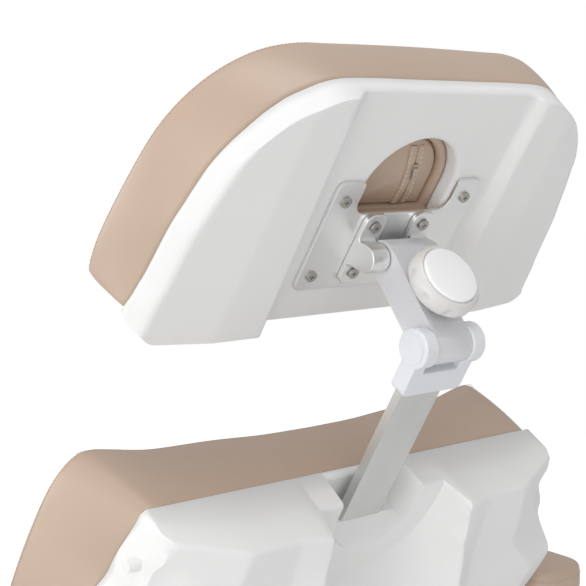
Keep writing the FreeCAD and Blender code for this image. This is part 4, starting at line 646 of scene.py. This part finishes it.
def make_head_shell():
    outline = head_outline(5.0)
    lip = hole_outline(HOLE_LIP)
    dots = []
    for inset in EDGE_INSETS:
        dots.extend(p for p in shrunk(outline, inset) if p.y > HEAD_LOW + FLOOR_BAND or abs(p.x) > CORNER_IN)
    floor = [p for p in outline if p.y < HEAD_LOW + 0.01 and abs(p.x) < FLOOR_END]
    for low in FLOOR_ROWS:
        dots.extend(Vector((p.x, HEAD_LOW + low)) for p in floor)

    def open_ground(p):
        if p.y < HEAD_LOW + FLOOR_BAND or inside(p, hole_outline(HOLE_LIP + 3)):
            return False
        return depth_in((abs(p.x), p.y), side_path) > 23 and not RAMP_IN - 4 < abs(p.x) < RAMP_OUT + 4

    dots.extend(grid_dots(-236, 236, HEAD_LOW, HEAD_TOP, MESH_STEP, open_ground))
    ramp_columns = [RAMP_IN - 3 + 1.6 * i for i in range(13)]
    for side in (1, -1):
        for x in ramp_columns:
            dots.extend(Vector((side * x, HEAD_LOW + FLOOR_BAND + 5 * i)) for i in range(45))
        for shift in (-5, -3, -1.5, 0, 1.5, 3, 5):
            dots.extend(Vector((side * (ridge_x(u) + shift), u)) for u in range(-90, 122, 5))
    points, faces = relief(outline, [lip], [], [p for p in dots if inside(p, outline)], head_height)
    rows = [numbers_on(points, lip)]

    def add_ring(ring, depth):
        start = len(points)
        points.extend((p.x, p.y, depth) for p in ring)
        rows.append(list(range(start, len(points))))

    for i in range(1, LIP_PARTS + 1):
        turn = math.radians(90 * i / LIP_PARTS)
        add_ring(shrunk(lip, HOLE_LIP * math.sin(turn)), CHANNEL - HOLE_LIP * (1 - math.cos(turn)))
    for depth in HOLE_DEPTHS:
        add_ring(hole_outline(-0.6), depth)
    for first, second in zip(rows, rows[1:]):
        faces.extend(ring_faces(first, second))
    points = [head.at(*heel(*p)) for p in points]
    moulding("headrest_back_shell", points, faces, "headrest", "headrest_shell", 50)


make_head_shell()


# Headrest cushion, the padded ring and roll at its face hole, and the plug that fills it

HEAD_FRONT = -80.0
# The cushion's rear edge follows the shell's side above its lower corner
HEAD_REAR_SIDE = [(252, -81)] + HEAD_SIDE[3:]
HEAD_FRONT_SIDE = [(249, -90.5), (254.5, -87.5), (257, -80), (258, -43), (251, 10), (240, 61), (223.5, 96),
                   (199, 124), (167, 144), (131, 153), (95, 154.5), (50, 155.5), (0, 156)]
# Section of the ring, as (growth of the hole's outline, depth)
LINER_SECTION = [(-0.2, -20.5), (-2.0, -19.2), (-5.5, -18.8), (-8.0, -20.4), (-8.8, -24), (-8.8, -32),
                 (-8.2, -36.5), (-6, -38), (-2, -38), (-0.8, -36.5), (-0.8, -28)]
# Rows of the pads' covers that carry stitches, just behind the front seam
HEAD_STITCH_ROW, BACK_STITCH_ROW, BOX_STITCH_ROW = 15, 17, 14


def half_outline(points):
    """Closed outline from the points of its left half, bottom to top."""
    left = spline(points, 2.0)
    return closed_outline(left + mirrored(left[:-1]))


def seam_line(rows, index, lift, place, span=None):
    """World points just outside a row of a pad, for stitches."""
    row = rows[index]
    points = row[span[0]:span[1]] if span else row + row[:1]
    middle = sum(row, Vector()) / len(row)
    out = []
    for p in points:
        away = (p - middle) - (p - middle).dot(place.back) * place.back
        out.append(p + away.normalized() * lift * MM)
    return out


def make_head_cushion():
    rear = half_outline(HEAD_REAR_SIDE)
    front = half_outline(HEAD_FRONT_SIDE)
    rows = pad("headrest_pad", head, rear, front, HEAD_REAR, HEAD_FRONT, 9.0, "headrest",
               ("headrest_cushion",), hole=hole_outline(0.6), swell=1.5, cap=3.0)
    seam = seam_line(rows, HEAD_STITCH_ROW, -0.45, head, (2, UPPER - 1))
    stitches("headrest_stitch", seam, "headrest")


def make_hole_ring():
    """Padded ring inside the face hole."""
    ring = [[head.at(p.x, p.y, depth) for p in hole_outline(grow)] for grow, depth in LINER_SECTION]
    points, faces, numbers = strips(ring)
    faces.extend(ring_faces(numbers[-1], numbers[0]))
    liner = solid("hole_padding", points, faces, "headrest", TAUPE, ("hole_liner",), sharp=60)


ROLL_HIGH, ROLL_SPREAD, ROLL_ROUND = 8.8, 1.5, 2.8
ROLL_FRONT, ROLL_REAR = -21.0, -0.5


def make_hole_roll():
    """Padded roll along the lower edge of the face hole, from side to side."""
    top = HOLE_LOW + ROLL_HIGH
    lower = [Vector((p.x, min(p.y, top))) for p in hole_outline(ROLL_SPREAD) if p.y < top + 3]
    roll = block(head, lower, ROLL_FRONT, ROLL_REAR)
    piece = assembled("hole_roll", [roll], "headrest", TAUPE, (), ROLL_ROUND, sharp=60)


PLUG_REAR = -25.0
PLUG_FRONT = -68.0
PLUG_CROWN = 6.0
PLUG_GAP = 9.2
ZIP_LOW, ZIP_LEAN = -19.0, 0.17
ZIP_SPAN = (20.0, 86.0)
ZIP_PULL = 64.0
ZIP_TEETH = 34
TOOTH = ((-1.1, -0.55), (1.1, -0.55), (1.1, 0.55), (-1.1, 0.55))
TOOTH_SHIFT = 0.35
# Flaps beside the zip, as (inner edge, outer edge, rise), and their stitches, as (name, place, rise)
ZIP_FLAPS = ((1.2, 10.0, 1.4), (-8.0, -1.2, 1.0))
ZIP_STITCHES = (("zip_stitch_a", 8.2, 1.7), ("zip_stitch_b", -6.4, 1.3))
plug_edge = hole_outline(-PLUG_GAP)
plug_middle = sum(plug_edge, Vector((0, 0))) / len(plug_edge)


def plug_depth(x, u):
    """Rear surface of the plug, crowned towards its middle."""
    reach = Vector((x, u)) - plug_middle
    if reach.length < 1.0:
        return PLUG_REAR + PLUG_CROWN
    rim = max(plug_edge, key=lambda p: (p - plug_middle).normalized().dot(reach.normalized()))
    share = min(reach.length / (rim - plug_middle).length, 1.0)
    return PLUG_REAR + PLUG_CROWN * (1 - share ** 2)


def zip_x(u):
    """Where the zip lies at a height."""
    return ZIP_LOW + ZIP_LEAN * (u - ZIP_SPAN[0])


def zip_levels(parts):
    """Heights along the zip, in a number of parts."""
    return [ZIP_SPAN[0] + (ZIP_SPAN[1] - ZIP_SPAN[0]) * i / parts for i in range(parts + 1)]


def ribbon(x_low, x_high, rise, sink=1.2):
    """Narrow strip of cover that lies along the zip."""
    rows = []
    middle = (x_low + x_high) / 2
    for u in zip_levels(23):
        level = plug_depth(zip_x(u) + middle, u)
        section = ((x_low, -sink), (x_low, rise * 0.6), (x_low + 0.8, rise), (middle, rise + 0.25),
                   (x_high - 0.8, rise), (x_high, rise * 0.6), (x_high, -sink))
        rows.append([head.at(zip_x(u) + x, u, level + n) for x, n in section])
    points, faces, numbers = strips(rows)
    return points, faces + end_caps(numbers)


def make_zip():
    """Zip in the plug's cover: two folded edges, a row of teeth, a slider with its puller and stitching."""
    assembled("zip_flaps", [ribbon(*flap) for flap in ZIP_FLAPS], "face_plug", TAUPE, (), 0.2, sharp=50)
    teeth = []
    for i in range(ZIP_TEETH):
        u = ZIP_SPAN[0] + 2 + (ZIP_SPAN[1] - ZIP_SPAN[0] - 4) * i / (ZIP_TEETH - 1)
        shift = TOOTH_SHIFT if i % 2 else -TOOTH_SHIFT
        level = plug_depth(zip_x(u), u)
        outline = [(zip_x(u) + shift + a, u + b) for a, b in TOOTH]
        teeth.append(block(head, outline, level - 0.8, level + 0.5))
    assembled("zip_teeth", teeth, "face_plug", "zinc_steel", (), 0.15, material="zip_brass")
    u = ZIP_PULL
    x = zip_x(u)
    level = plug_depth(x, u)
    slider = rounded([(x - 3.2, u - 4, 1), (x + 3.2, u - 4, 1), (x + 4, u + 4, 1.5), (x - 4, u + 4, 1.5)], 3)
    tab = rounded([(x - 4.6, u - 13, 2), (x - 0.4, u - 13, 2), (x + 3, u + 1, 1), (x - 3, u + 1, 1)], 4)
    pull = [block(head, slider, level + 0.4, level + 3.0), block(head, tab, level + 3.0, level + 4.3)]
    assembled("zip_pull", pull, "face_plug", "zinc_steel", (), 0.35, material="zip_brass")
    levels = zip_levels(30)
    for (name, x, rise), (x_low, x_high, _) in zip(ZIP_STITCHES, ZIP_FLAPS):
        middle = (x_low + x_high) / 2
        line = [head.at(zip_x(u) + x, u, plug_depth(zip_x(u) + middle, u) + rise) for u in levels]
        stitches(name, line, "face_plug", length=3.2, gap=5.0, radius=0.6, look="pale_thread")


def make_plug():
    pad("plug_pad", head, plug_edge, hole_outline(-PLUG_GAP + 0.3), PLUG_REAR, PLUG_FRONT, 5.0, "face_plug",
        ("face_plug",), swell=0.3, cap=2.0, rear_crown=PLUG_CROWN, fill=0.75)
    make_zip()


make_head_cushion()
make_hole_ring()
make_hole_roll()
make_plug()


# Headrest bracket: plate, clevis, knob and fork

PLATE_HALF, PLATE_REACH, PLATE_LOW, PLATE_THICK = 89.0, 62.0, 59.0, 4.0
HORN_IN, HORN_LOW = 58.0, 27.0
FOOT_IN, FOOT_OUT, FOOT_LOW, FOOT_HIGH, FOOT_THICK = 17.5, 43.0, -50.0, 29.0, 5.5
EAR_IN, EAR_OUT, EAR_ROUND = 22.3, 42.9, 13.0
KNOB_UP = 44.9
KNOB_DENTS = 8
KNOB_PARTS = 128
DENT_DEPTH, DENT_WIDTH, DENT_LEVEL, DENT_TALL, DENT_REACH = 3.4, 0.15, 34.0, 5.0, 29.5
# Turned profiles of the knob, as (radius, height)
KNOB_PROFILE = [(6, 20.5), (20, 20.6), (25.5, 22), (30.4, 25), (33.8, 28.8), (35.6, 33), (35.7, 37),
                (34.7, 40.5), (32.6, 43.4), (30.6, 45.2), (29.4, 45.6), (28.7, 45), (28.6, 44), (6, 44)]
CAP_PROFILE = [(28.2, 44.2), (28.2, 46.4), (27.5, 47.3), (26, 47.8), (20, 48.5), (12, 49.0), (5, 49.2),
               (0.6, 49.25)]
FORK_HALF, FORK_GAP, FORK_ROUND = 37.0, 22.0, 18.4
FORK_LOW, FORK_SLOT = 166.0, 191.5
FORK_FRONT, FORK_BACK = -9.3, 9.0


def make_plate():
    right = [(PLATE_HALF, -PLATE_LOW, 9), (PLATE_HALF, PLATE_REACH, 8), (HORN_IN, PLATE_REACH, 5),
             (HORN_IN, HORN_LOW, 13)]
    outline = rounded(right + [(-x, u, r) for x, u, r in reversed(right)])
    plate = block(head, outline, -PLATE_THICK + 0.1, 0.0)
    assembled("headrest_plate", [plate], "headrest", "satin_aluminium", ("mount_plate",), 0.9)


def make_clevis():
    tip = arc(-PIVOT_DROP, PIVOT_BACK, EAR_ROUND, -19.4, 168, 22)
    sunk = FOOT_THICK - 0.3
    profile = [(FOOT_HIGH - 13, 0.2), (FOOT_HIGH - 13, sunk), (7, sunk), (3.4, 6.0), (1.6, 7.2), (1.4, 8.6)]
    profile += [tuple(p) for p in tip]
    profile += [(-25.2, 8.5), (-26.4, 6.8), (-28.5, sunk), (-36, sunk), (-36, 0.2)]
    shells = []
    for sign in (1, -1):
        foot = [(sign * FOOT_IN, FOOT_LOW, 10), (sign * FOOT_OUT, FOOT_LOW, 8),
                (sign * FOOT_OUT, FOOT_HIGH, 10), (sign * FOOT_IN, FOOT_HIGH, 10)]
        shells.append(block(head, rounded(foot), 0.0, FOOT_THICK))
        shells.append(block(head, profile, sign * EAR_IN, sign * EAR_OUT, axis="x"))
    assembled("headrest_clevis", shells, "headrest", "satin_aluminium", ("clevis",), 1.2, sharp=28)


def knob_shape(turn, radius, height):
    """Shallow finger dents round the knob's rim."""
    phase = (turn * KNOB_DENTS / (2 * math.pi)) % 1.0 - 0.5
    dent = DENT_DEPTH * math.exp(-(phase / DENT_WIDTH) ** 2 - ((height - DENT_LEVEL) / DENT_TALL) ** 2)
    return radius - dent * (radius > DENT_REACH)


def make_knob():
    axis = moved(arm, KNOB_UP, 0)
    for name, profile, node, look, shape in (
            ("knob_grip", KNOB_PROFILE, "clamp_knob", "knob_plastic", knob_shape),
            ("knob_face", CAP_PROFILE, "knob_cap", "gloss_white", None)):
        path = [Vector(p) for p in profile]
        fine = [path[0]] + spline(path[1:-1], 1.1) + [path[-1]]
        points, faces, numbers = strips(lathe(axis, [tuple(p) for p in fine], KNOB_PARTS, shape))
        faces += end_caps(numbers)
        solid(name, points, faces, "clamp_knob", "knob_plastic", (node,), material=look, sharp=45)


def make_fork():
    legs = [(-FORK_HALF, FORK_LOW, 6), (FORK_HALF, FORK_LOW, 6),
            (FORK_HALF, PIVOT_RISE, 0), (FORK_GAP, PIVOT_RISE, 0),
            (FORK_GAP, FORK_SLOT, 2), (-FORK_GAP, FORK_SLOT, 2),
            (-FORK_GAP, PIVOT_RISE, 0), (-FORK_HALF, PIVOT_RISE, 0)]
    shells = [block(back, rounded(legs), FORK_FRONT, FORK_BACK)]
    rim = arc(PIVOT_RISE, -FORK_SET, FORK_ROUND, 0, 360, 64)[:-1]
    for sign in (1, -1):
        shells.append(block(back, rim, sign * (FORK_GAP - 0.1), sign * (FORK_HALF + 0.15), axis="x"))
    assembled("bar_head", shells, "headrest_post", "white_enamel", ("bar_fork",), 1.6)


make_plate()
make_clevis()
make_knob()
make_fork()


# Backrest shell: faceted rear that widens below its shoulders, with a notch and bowl round the bar

BACK_REAR = -28.0
BACK_TOP = 44.0
BACK_LOW = -458.0
TOP_ROUND = 5.0
# Each level: height, half width, depths at the middle, bowl edge, hollow, ridge and side corner, and the
# distances of the bowl edge, hollow and ridge from the middle
BACK_LEVELS = [
    (-458, 276, (34, 34, 33, 31, 9), (95, 120, 190)),
    (-308, 284, (62, 62, 58, 56, 30), (100, 130, 226)),
    (-80, 286, (86, 86, 69, 65, 50), (96, 128, 234)),
    (-22, 262, (70, 70, 57, 54, 24), (90, 122, 186)),
    (44, 250, (50, 50, 44.5, 45, 14), (92, 123, 177)),
]
BOWL_HEIGHT = 25.0
NOTCH_WALL = -20.0
NOTCH_HALF = 51.0
# Rows of mesh points: round the notch, in from the sides, down from the top and across the notch's foot
NOTCH_RINGS = (46, 48.5, 49.5, 49.9, 50.3, 50.7, 51.1, 51.5, 52, 53, 55, 59, 66, 73, 78, 79.5, 80.5, 81.5,
               83, 86, 90)
SIDE_INSETS = (0.8, 1.8, 3.0, 4.5, 6.5, 9.0, 12.0)
TOP_DROPS = (0.25, 0.6, 1.1, 1.8, 2.7, 3.8, 5.2, 7.0)
NOTCH_FOOT = (1.2, 0.4, 0.05, -0.05, -0.4, -1.2, -3)
TOP_BAND = 9
BAND_DEPTH = 15.5
BAND_OUT = 81.0
# Reach of the bowl at each angle below level
BOWL_EDGE = [(0, 90), (16, 93), (38, 122), (60, 141), (90, 136)]
BOWL_RISE = 50.0
POCKET_IN, POCKET_UP, POCKET_HALF, POCKET_TALL, POCKET_DEPTH = 8, 2, 26, 19, 9.0


def back_level(u):
    """Section of the backrest shell at one height, as (x, n) points."""
    for low, high in zip(BACK_LEVELS, BACK_LEVELS[1:]):
        if u <= high[0]:
            break
    soft = ease(u, low[0], high[0])
    straight = min((u - low[0]) / (high[0] - low[0]), 1.0)
    half = low[1] + (high[1] - low[1]) * soft
    shares = (straight, straight, straight, (straight + soft) / 2, soft)
    depths = [a + (b - a) * share for a, b, share in zip(low[2], high[2], shares)]
    places = [a + (b - a) * soft for a, b in zip(low[3], high[3])]
    return half, list(zip([0.0] + places + [half - 4.0], depths)) + [(half, BACK_REAR)]


def blurred(points, value, width):
    """A line through points with its corners rounded over a width."""
    shares = (-1.0, -0.6, -0.2, 0.2, 0.6, 1.0)
    return sum(along(points, value + width * share) for share in shares) / len(shares)


def bowl_height(x, u):
    """Recess round the bar: a notch, a flat band like a U, and a bowl that flares out to the facets."""
    fall = min(u - BOWL_HEIGHT, 0.0)
    radius = math.hypot(x, fall)
    angle = math.degrees(math.atan2(-fall, max(abs(x), 0.001)))
    flare = (radius - BAND_OUT) / (along(BOWL_EDGE, angle) - BAND_OUT)
    outer = smooth_max(BAND_DEPTH, BAND_DEPTH + BOWL_RISE * flare, 2.5)
    inner = NOTCH_WALL if u > 0 else min(-0.75 * u - 0.5, BAND_DEPTH)
    return inner + (outer - inner) * ease(radius, NOTCH_HALF - 1.2, NOTCH_HALF + 0.8)


def back_facets(x, u):
    """Facets of the rear, with a pocket round each peg."""
    half, points = back_level(u)
    pocket = math.hypot((abs(x) - half + POCKET_IN) / POCKET_HALF, (u - POCKET_UP) / POCKET_TALL)
    return blurred(points, abs(x), 2.6) - POCKET_DEPTH * ease(1.25 - pocket, 0.0, 1.0)


def bowl_rim(shift):
    """Points where the bowl meets the facets, moved out by a shift."""
    rays = [((1, 0), u) for u in range(36, int(BOWL_HEIGHT), -2)]
    for i in range(91):
        turn = math.radians(2 * i)
        rays.append(((math.cos(turn), -math.sin(turn)), BOWL_HEIGHT))
    rays += [((-1, 0), u) for u in range(int(BOWL_HEIGHT) + 2, 37, 2)]
    rim = []
    for run, start in rays:
        low, high = BAND_OUT + 2.0, 190.0
        for _ in range(20):
            middle = (low + high) / 2
            x, u = middle * run[0], start + middle * run[1]
            if bowl_height(x, u) < back_facets(x, u):
                low = middle
            else:
                high = middle
        rim.append(Vector(((low + shift) * run[0], start + (low + shift) * run[1])))
    return rim


def back_height(x, u):
    """Rear surface of the backrest shell, with its top edge rounded."""
    height = smooth_min(back_facets(x, u), bowl_height(x, u), 3.5)
    edge = max(TOP_ROUND - (BACK_TOP - u), 0.0)
    return height - (TOP_ROUND - math.sqrt(max(TOP_ROUND ** 2 - edge ** 2, 0.0)))


def back_half(u):
    """Half the width of the backrest shell at a height."""
    return back_level(u)[0]


def back_outline():
    """Closed outline of the backrest shell, anticlockwise from its lower right corner."""
    right = [Vector((back_half(u), u)) for u in range(int(BACK_LOW), 36, 6)]
    right += [Vector((back_half(BACK_TOP - 5), BACK_TOP - 5)), Vector((back_half(BACK_TOP) - 4, BACK_TOP))]
    inner = [240 - 5 * i for i in range(37)] + [NOTCH_HALF + 3 - 1.0 * i for i in range(8)]
    inner += [40 - 5 * i for i in range(9)]
    upper = right + [Vector((x, BACK_TOP)) for x in inner]
    upper += mirrored(upper)
    return upper + even([upper[-1], upper[0]], 8.0)[1:-1]


def make_back_shell():
    outline = back_outline()
    dots = []
    for inset in SIDE_INSETS:
        dots.extend(p for p in shrunk(outline, inset) if BACK_LOW + 14 < p.y < BACK_TOP - TOP_BAND)
    columns = [p.x for p in outline if p.y == BACK_TOP]
    for drop in TOP_DROPS:
        dots.extend(Vector((x, BACK_TOP - drop)) for x in columns)
    for i in range(50):
        turn = math.radians(180 + 3.6 * i + 1.8)
        for radius in NOTCH_RINGS:
            dots.append(Vector((radius * math.cos(turn), BOWL_HEIGHT + radius * math.sin(turn))))
    for side in (1, -1):
        for x in NOTCH_RINGS:
            dots.extend(Vector((side * x, BOWL_HEIGHT + 2.5 * i)) for i in range(5))
    for u in NOTCH_FOOT:
        dots.extend(Vector((-44 + 4 * i, u)) for i in range(23))

    def open_ground(p):
        radius = math.hypot(p.x, min(p.y - BOWL_HEIGHT, 0.0))
        if 43 < radius < 94 and p.y < BACK_TOP and abs(p.x) < 96:
            return False
        if radius < 44 and abs(p.y) < 5:
            return False
        return BACK_LOW + 6 < p.y < BACK_TOP - TOP_BAND and abs(p.x) < back_half(p.y) - 15

    dots.extend(grid_dots(-286, 286, BACK_LOW, BACK_TOP, MESH_STEP, open_ground))
    for shift in (-3.2, -1.6, 1.6, 3.2):
        dots.extend(bowl_rim(shift))
    for u in range(-190, int(BACK_TOP) - TOP_BAND, 4):
        for x, _ in back_level(u)[1][2:4]:
            dots.extend(Vector((side * (x + shift), u)) for side in (1, -1) for shift in (-4, -2, 0, 2, 4))
    dots = [p for p in dots if inside(p, outline)]
    points, faces = relief(outline, [], [bowl_rim(0.0)], dots, back_height)
    rim = numbers_on(points, outline)
    start = len(points)
    points.extend((p.x, p.y, BACK_REAR) for p in outline)
    faces.extend(ring_faces(rim, list(range(start, len(points)))))
    points = [back.at(*p) for p in points]
    moulding("backrest_back_shell", points, faces, "backrest", "backrest_shell", 42)


make_back_shell()


# Backrest cushion: boxing that leans out to a front with two bolsters

# Depth of the front panel against distance from the middle, below and at the top
BOLSTER = [(0, -121), (60, -121), (150, -125), (185, -133), (222, -147), (250, -143), (272, -129),
           (300, -110)]
BOLSTER_TOP = [(0, -108), (60, -109), (115, -114), (190, -116), (245, -130), (300, -122)]
BACK_FRONT_TOP = 25.0
BACK_FRONT_SIDE = [(283, BACK_LOW + 4), (292, BACK_LOW + 70), (295, -250), (295, -110), (288, -50),
                   (278, -8), (268, 14)]
FOOT_ROLL, FOOT_RUN = 36.0, 50
SIDE_PARTS, TOP_PARTS = 26, 16


def back_front(p):
    """Depth of the backrest's front panel."""
    low = blurred(BOLSTER, abs(p.x), 9.0)
    depth = low + (blurred(BOLSTER_TOP, abs(p.x), 9.0) - low) * ease(p.y, -70, 20)
    return depth + FOOT_ROLL * ease(BACK_LOW + FOOT_RUN - p.y, 0, FOOT_RUN) ** 2


def make_back_cushion():
    rear_side = [Vector((back_half(u) - 1, u)) for u in range(int(BACK_LOW) + 4, 37, 8)]
    rear_side += [Vector((back_half(BACK_TOP) - 6, BACK_TOP - 1)), Vector((0, BACK_TOP - 1))]
    front_side = spline(BACK_FRONT_SIDE, 6.0)
    front_side += [Vector((256, BACK_FRONT_TOP)), Vector((0, BACK_FRONT_TOP))]
    outlines = []
    for side in (rear_side, front_side):
        corner = len(side) - 2
        upper = even(side[:corner + 1], parts=SIDE_PARTS)[:-1] + even(side[corner:], parts=TOP_PARTS)
        upper += mirrored(upper[:-1])
        outlines.append(upper + even([upper[-1], upper[0]], parts=FLOOR)[1:-1])
    rear, front = outlines
    rows = pad("backrest_pad", back, rear, front, BACK_REAR, back_front, 3.0, "backrest",
               ("backrest_cushion",), swell=2.0, panel_rows=26, side_rows=9, cap=4.0)
    seam = seam_line(rows, BACK_STITCH_ROW, -0.1, back, (0, len(rear) - FLOOR + 1))
    stitches("backrest_stitch", seam, "backrest")


make_back_cushion()


# Seat, leg rest and armrest cushions

LEG_PAD = dict(half=122, low=-462, high=-39, radius=34, n_rear=-34.5, n_front=-99, crown=8, lean=3)
ARM_PAD = dict(half=40.5, low=-299, high=77, radius=26, n_rear=26.5, n_front=-24, crown=4, lean=2,
               swell=2.0, cap=2.5)
ARM_OUT = 45.3
SEAT_RADIUS, SEAT_CROWN, SEAT_SINK = 45, 8, 10


def pad_outline(half, low, high, radius):
    """Rounded rectangle as a closed outline that starts at its lower right."""
    side = arc(half - radius, low + radius, radius, -90, 0, 6)
    side += arc(half - radius, high - radius, radius, 0, 90, 6)
    return closed_outline(side + mirrored(side))


def box_pad(name, place, body, node, half, low, high, radius, n_rear, n_front, crown, lean, **kind):
    """Cushion with a rounded rectangle for its outline, drawn in by a lean at its rear."""
    rear = pad_outline(half - lean, low + lean, high - lean, radius)
    front = pad_outline(half, low, high, radius)
    rows = pad(name, place, rear, front, n_rear, n_front, crown, body, (node,), **kind)
    stitches(name + "_stitch", seam_line(rows, BOX_STITCH_ROW, 0.1, place), body)


def make_soft_rest():
    low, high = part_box("seat_cushion")
    seat = Place((0.0, 0.0, 0.0), (0.0, 0.0, -1.0))
    box_pad("seat_pad", seat, "lift", "seat_cushion", high.x / MM, low.y / MM, high.y / MM, SEAT_RADIUS,
            -low.z / MM, -high.z / MM + SEAT_SINK, SEAT_CROWN, lean=4, swell=3.0, cap=5.0, panel_rows=16)
    for side, sign in SIDES:
        run = Vector(joints["leg_slide_" + side]["axis"])
        leg = Place(joints["leg_tilt_" + side]["pos_m"], (0.0, -run.z, run.y))
        box_pad("leg_pad_" + side, leg, "leg_pad_" + side, "leg_cushion_" + side, **LEG_PAD)
        elbow = Place(joints["armrest_fold_" + side]["pos_m"], (0.0, 0.0, -1.0))
        elbow.origin += X_AXIS * (sign * ARM_OUT * MM)
        box_pad("arm_pad_" + side, elbow, "armrest_" + side, "armrest_pad_" + side, **ARM_PAD)


make_soft_rest()


# Carried-over parts keep their shape, with softened edges and their own finish

# Finishes that differ from a node's slot, and edge widths that differ from the usual one
LOOK = {"headrest_bar": "bar_aluminium", "fork_caps": "white_enamel", "plate_screws": "screw_steel",
        "clevis_screws": "screw_steel"}
EDGE = {"white_shell": 2.0, "satin_aluminium": 0.8, "white_enamel": 1.2, "arm_silver": 1.2}
USUAL_EDGE = 0.6


def dress_frame():
    for name, node in frame["nodes"].items():
        node.data.materials.clear()
        node.data.materials.append(finishes[LOOK.get(name, slots[name])])
        joined = node.modifiers.new("joined", "WELD")
        joined.merge_threshold = 0.02 * MM
        bevel(node, EDGE.get(slots[name], USUAL_EDGE), 2, 40.0)


dress_frame()


# Stage, light and camera

# Level of the world's light, and how far it changes from one side to the other
WORLD_LIGHT = 0.655
WORLD_TURN = 0.2
FLOOR_GLOW = 0.5
LIT_SPOT = (0.0, 0.5, 1.0)


def eye_level(tree, dim, bright):
    """Node that gives one level to the camera's own rays and a dimmer one to all others."""
    path = tree.nodes.new("ShaderNodeLightPath")
    level = tree.nodes.new("ShaderNodeMapRange")
    level.inputs["To Min"].default_value = dim
    level.inputs["To Max"].default_value = bright
    tree.links.new(path.outputs["Is Camera Ray"], level.inputs["Value"])
    return level


def make_world():
    world = bpy.data.worlds.new("studio")
    scene.world = world
    world.use_nodes = True
    nodes = world.node_tree.nodes
    link = world.node_tree.links.new
    sky = nodes["Background"]
    sky.inputs["Color"].default_value = (1.0, 1.0, 1.0, 1.0)
    level = eye_level(world.node_tree, WORLD_LIGHT, 1.0)
    facing = nodes.new("ShaderNodeTexCoord")
    across = nodes.new("ShaderNodeSeparateXYZ")
    link(facing.outputs["Generated"], across.inputs["Vector"])
    shade = nodes.new("ShaderNodeMapRange")
    shade.inputs["From Min"].default_value = -1.0
    shade.inputs["To Min"].default_value = WORLD_LIGHT - WORLD_TURN
    shade.inputs["To Max"].default_value = WORLD_LIGHT + WORLD_TURN
    link(across.outputs["X"], shade.inputs["Value"])
    link(shade.outputs["Result"], level.inputs["To Min"])
    link(level.outputs["Result"], sky.inputs["Strength"])


def make_floor():
    bpy.ops.mesh.primitive_plane_add(size=7.0, location=(0, 0, -0.001))
    floor = bpy.context.object
    floor.name = "floor"
    paint = finish("floor_paint", (0.88, 0.88, 0.88), 0.7, vary=0.004, grain=0.02)
    shader = paint.node_tree.nodes["Principled BSDF"]
    shader.inputs["Emission Color"].default_value = (1.0, 1.0, 1.0, 1.0)
    glow = eye_level(paint.node_tree, 0.0, FLOOR_GLOW)
    paint.node_tree.links.new(glow.outputs["Result"], shader.inputs["Emission Strength"])
    floor.data.materials.append(paint)


def lamp(name, place, target, size, power):
    """Round area lamp that faces a target."""
    light = bpy.data.lights.new(name, "AREA")
    light.shape = "DISK"
    light.size = size
    light.energy = power
    source = bpy.data.objects.new(name, light)
    source.location = place
    source.rotation_euler = (Vector(target) - Vector(place)).to_track_quat("-Z", "Y").to_euler()
    scene.collection.objects.link(source)


def make_camera():
    """Camera of the photo, as solved from it."""
    lens = bpy.data.cameras.new("camera")
    lens.lens = 80.44
    lens.sensor_width = 36.0
    camera = bpy.data.objects.new("camera", lens)
    camera.location = (0.8348, 1.4550, 1.2640)
    camera.rotation_euler = (math.radians(90 - 6.92), 0.0, math.radians(180 - 39.10))
    scene.collection.objects.link(camera)
    scene.camera = camera


make_world()
make_floor()
lamp("key", (3.2, 1.6, 1.3), LIT_SPOT, 2.4, 26.0)
lamp("side", (2.6, -2.4, 1.6), (0.0, 0.4, 1.0), 1.6, 18.0)
lamp("top", (0.5, 1.2, 3.6), LIT_SPOT, 2.0, 18.0)
make_camera()
scene.view_settings.view_transform = "Standard"
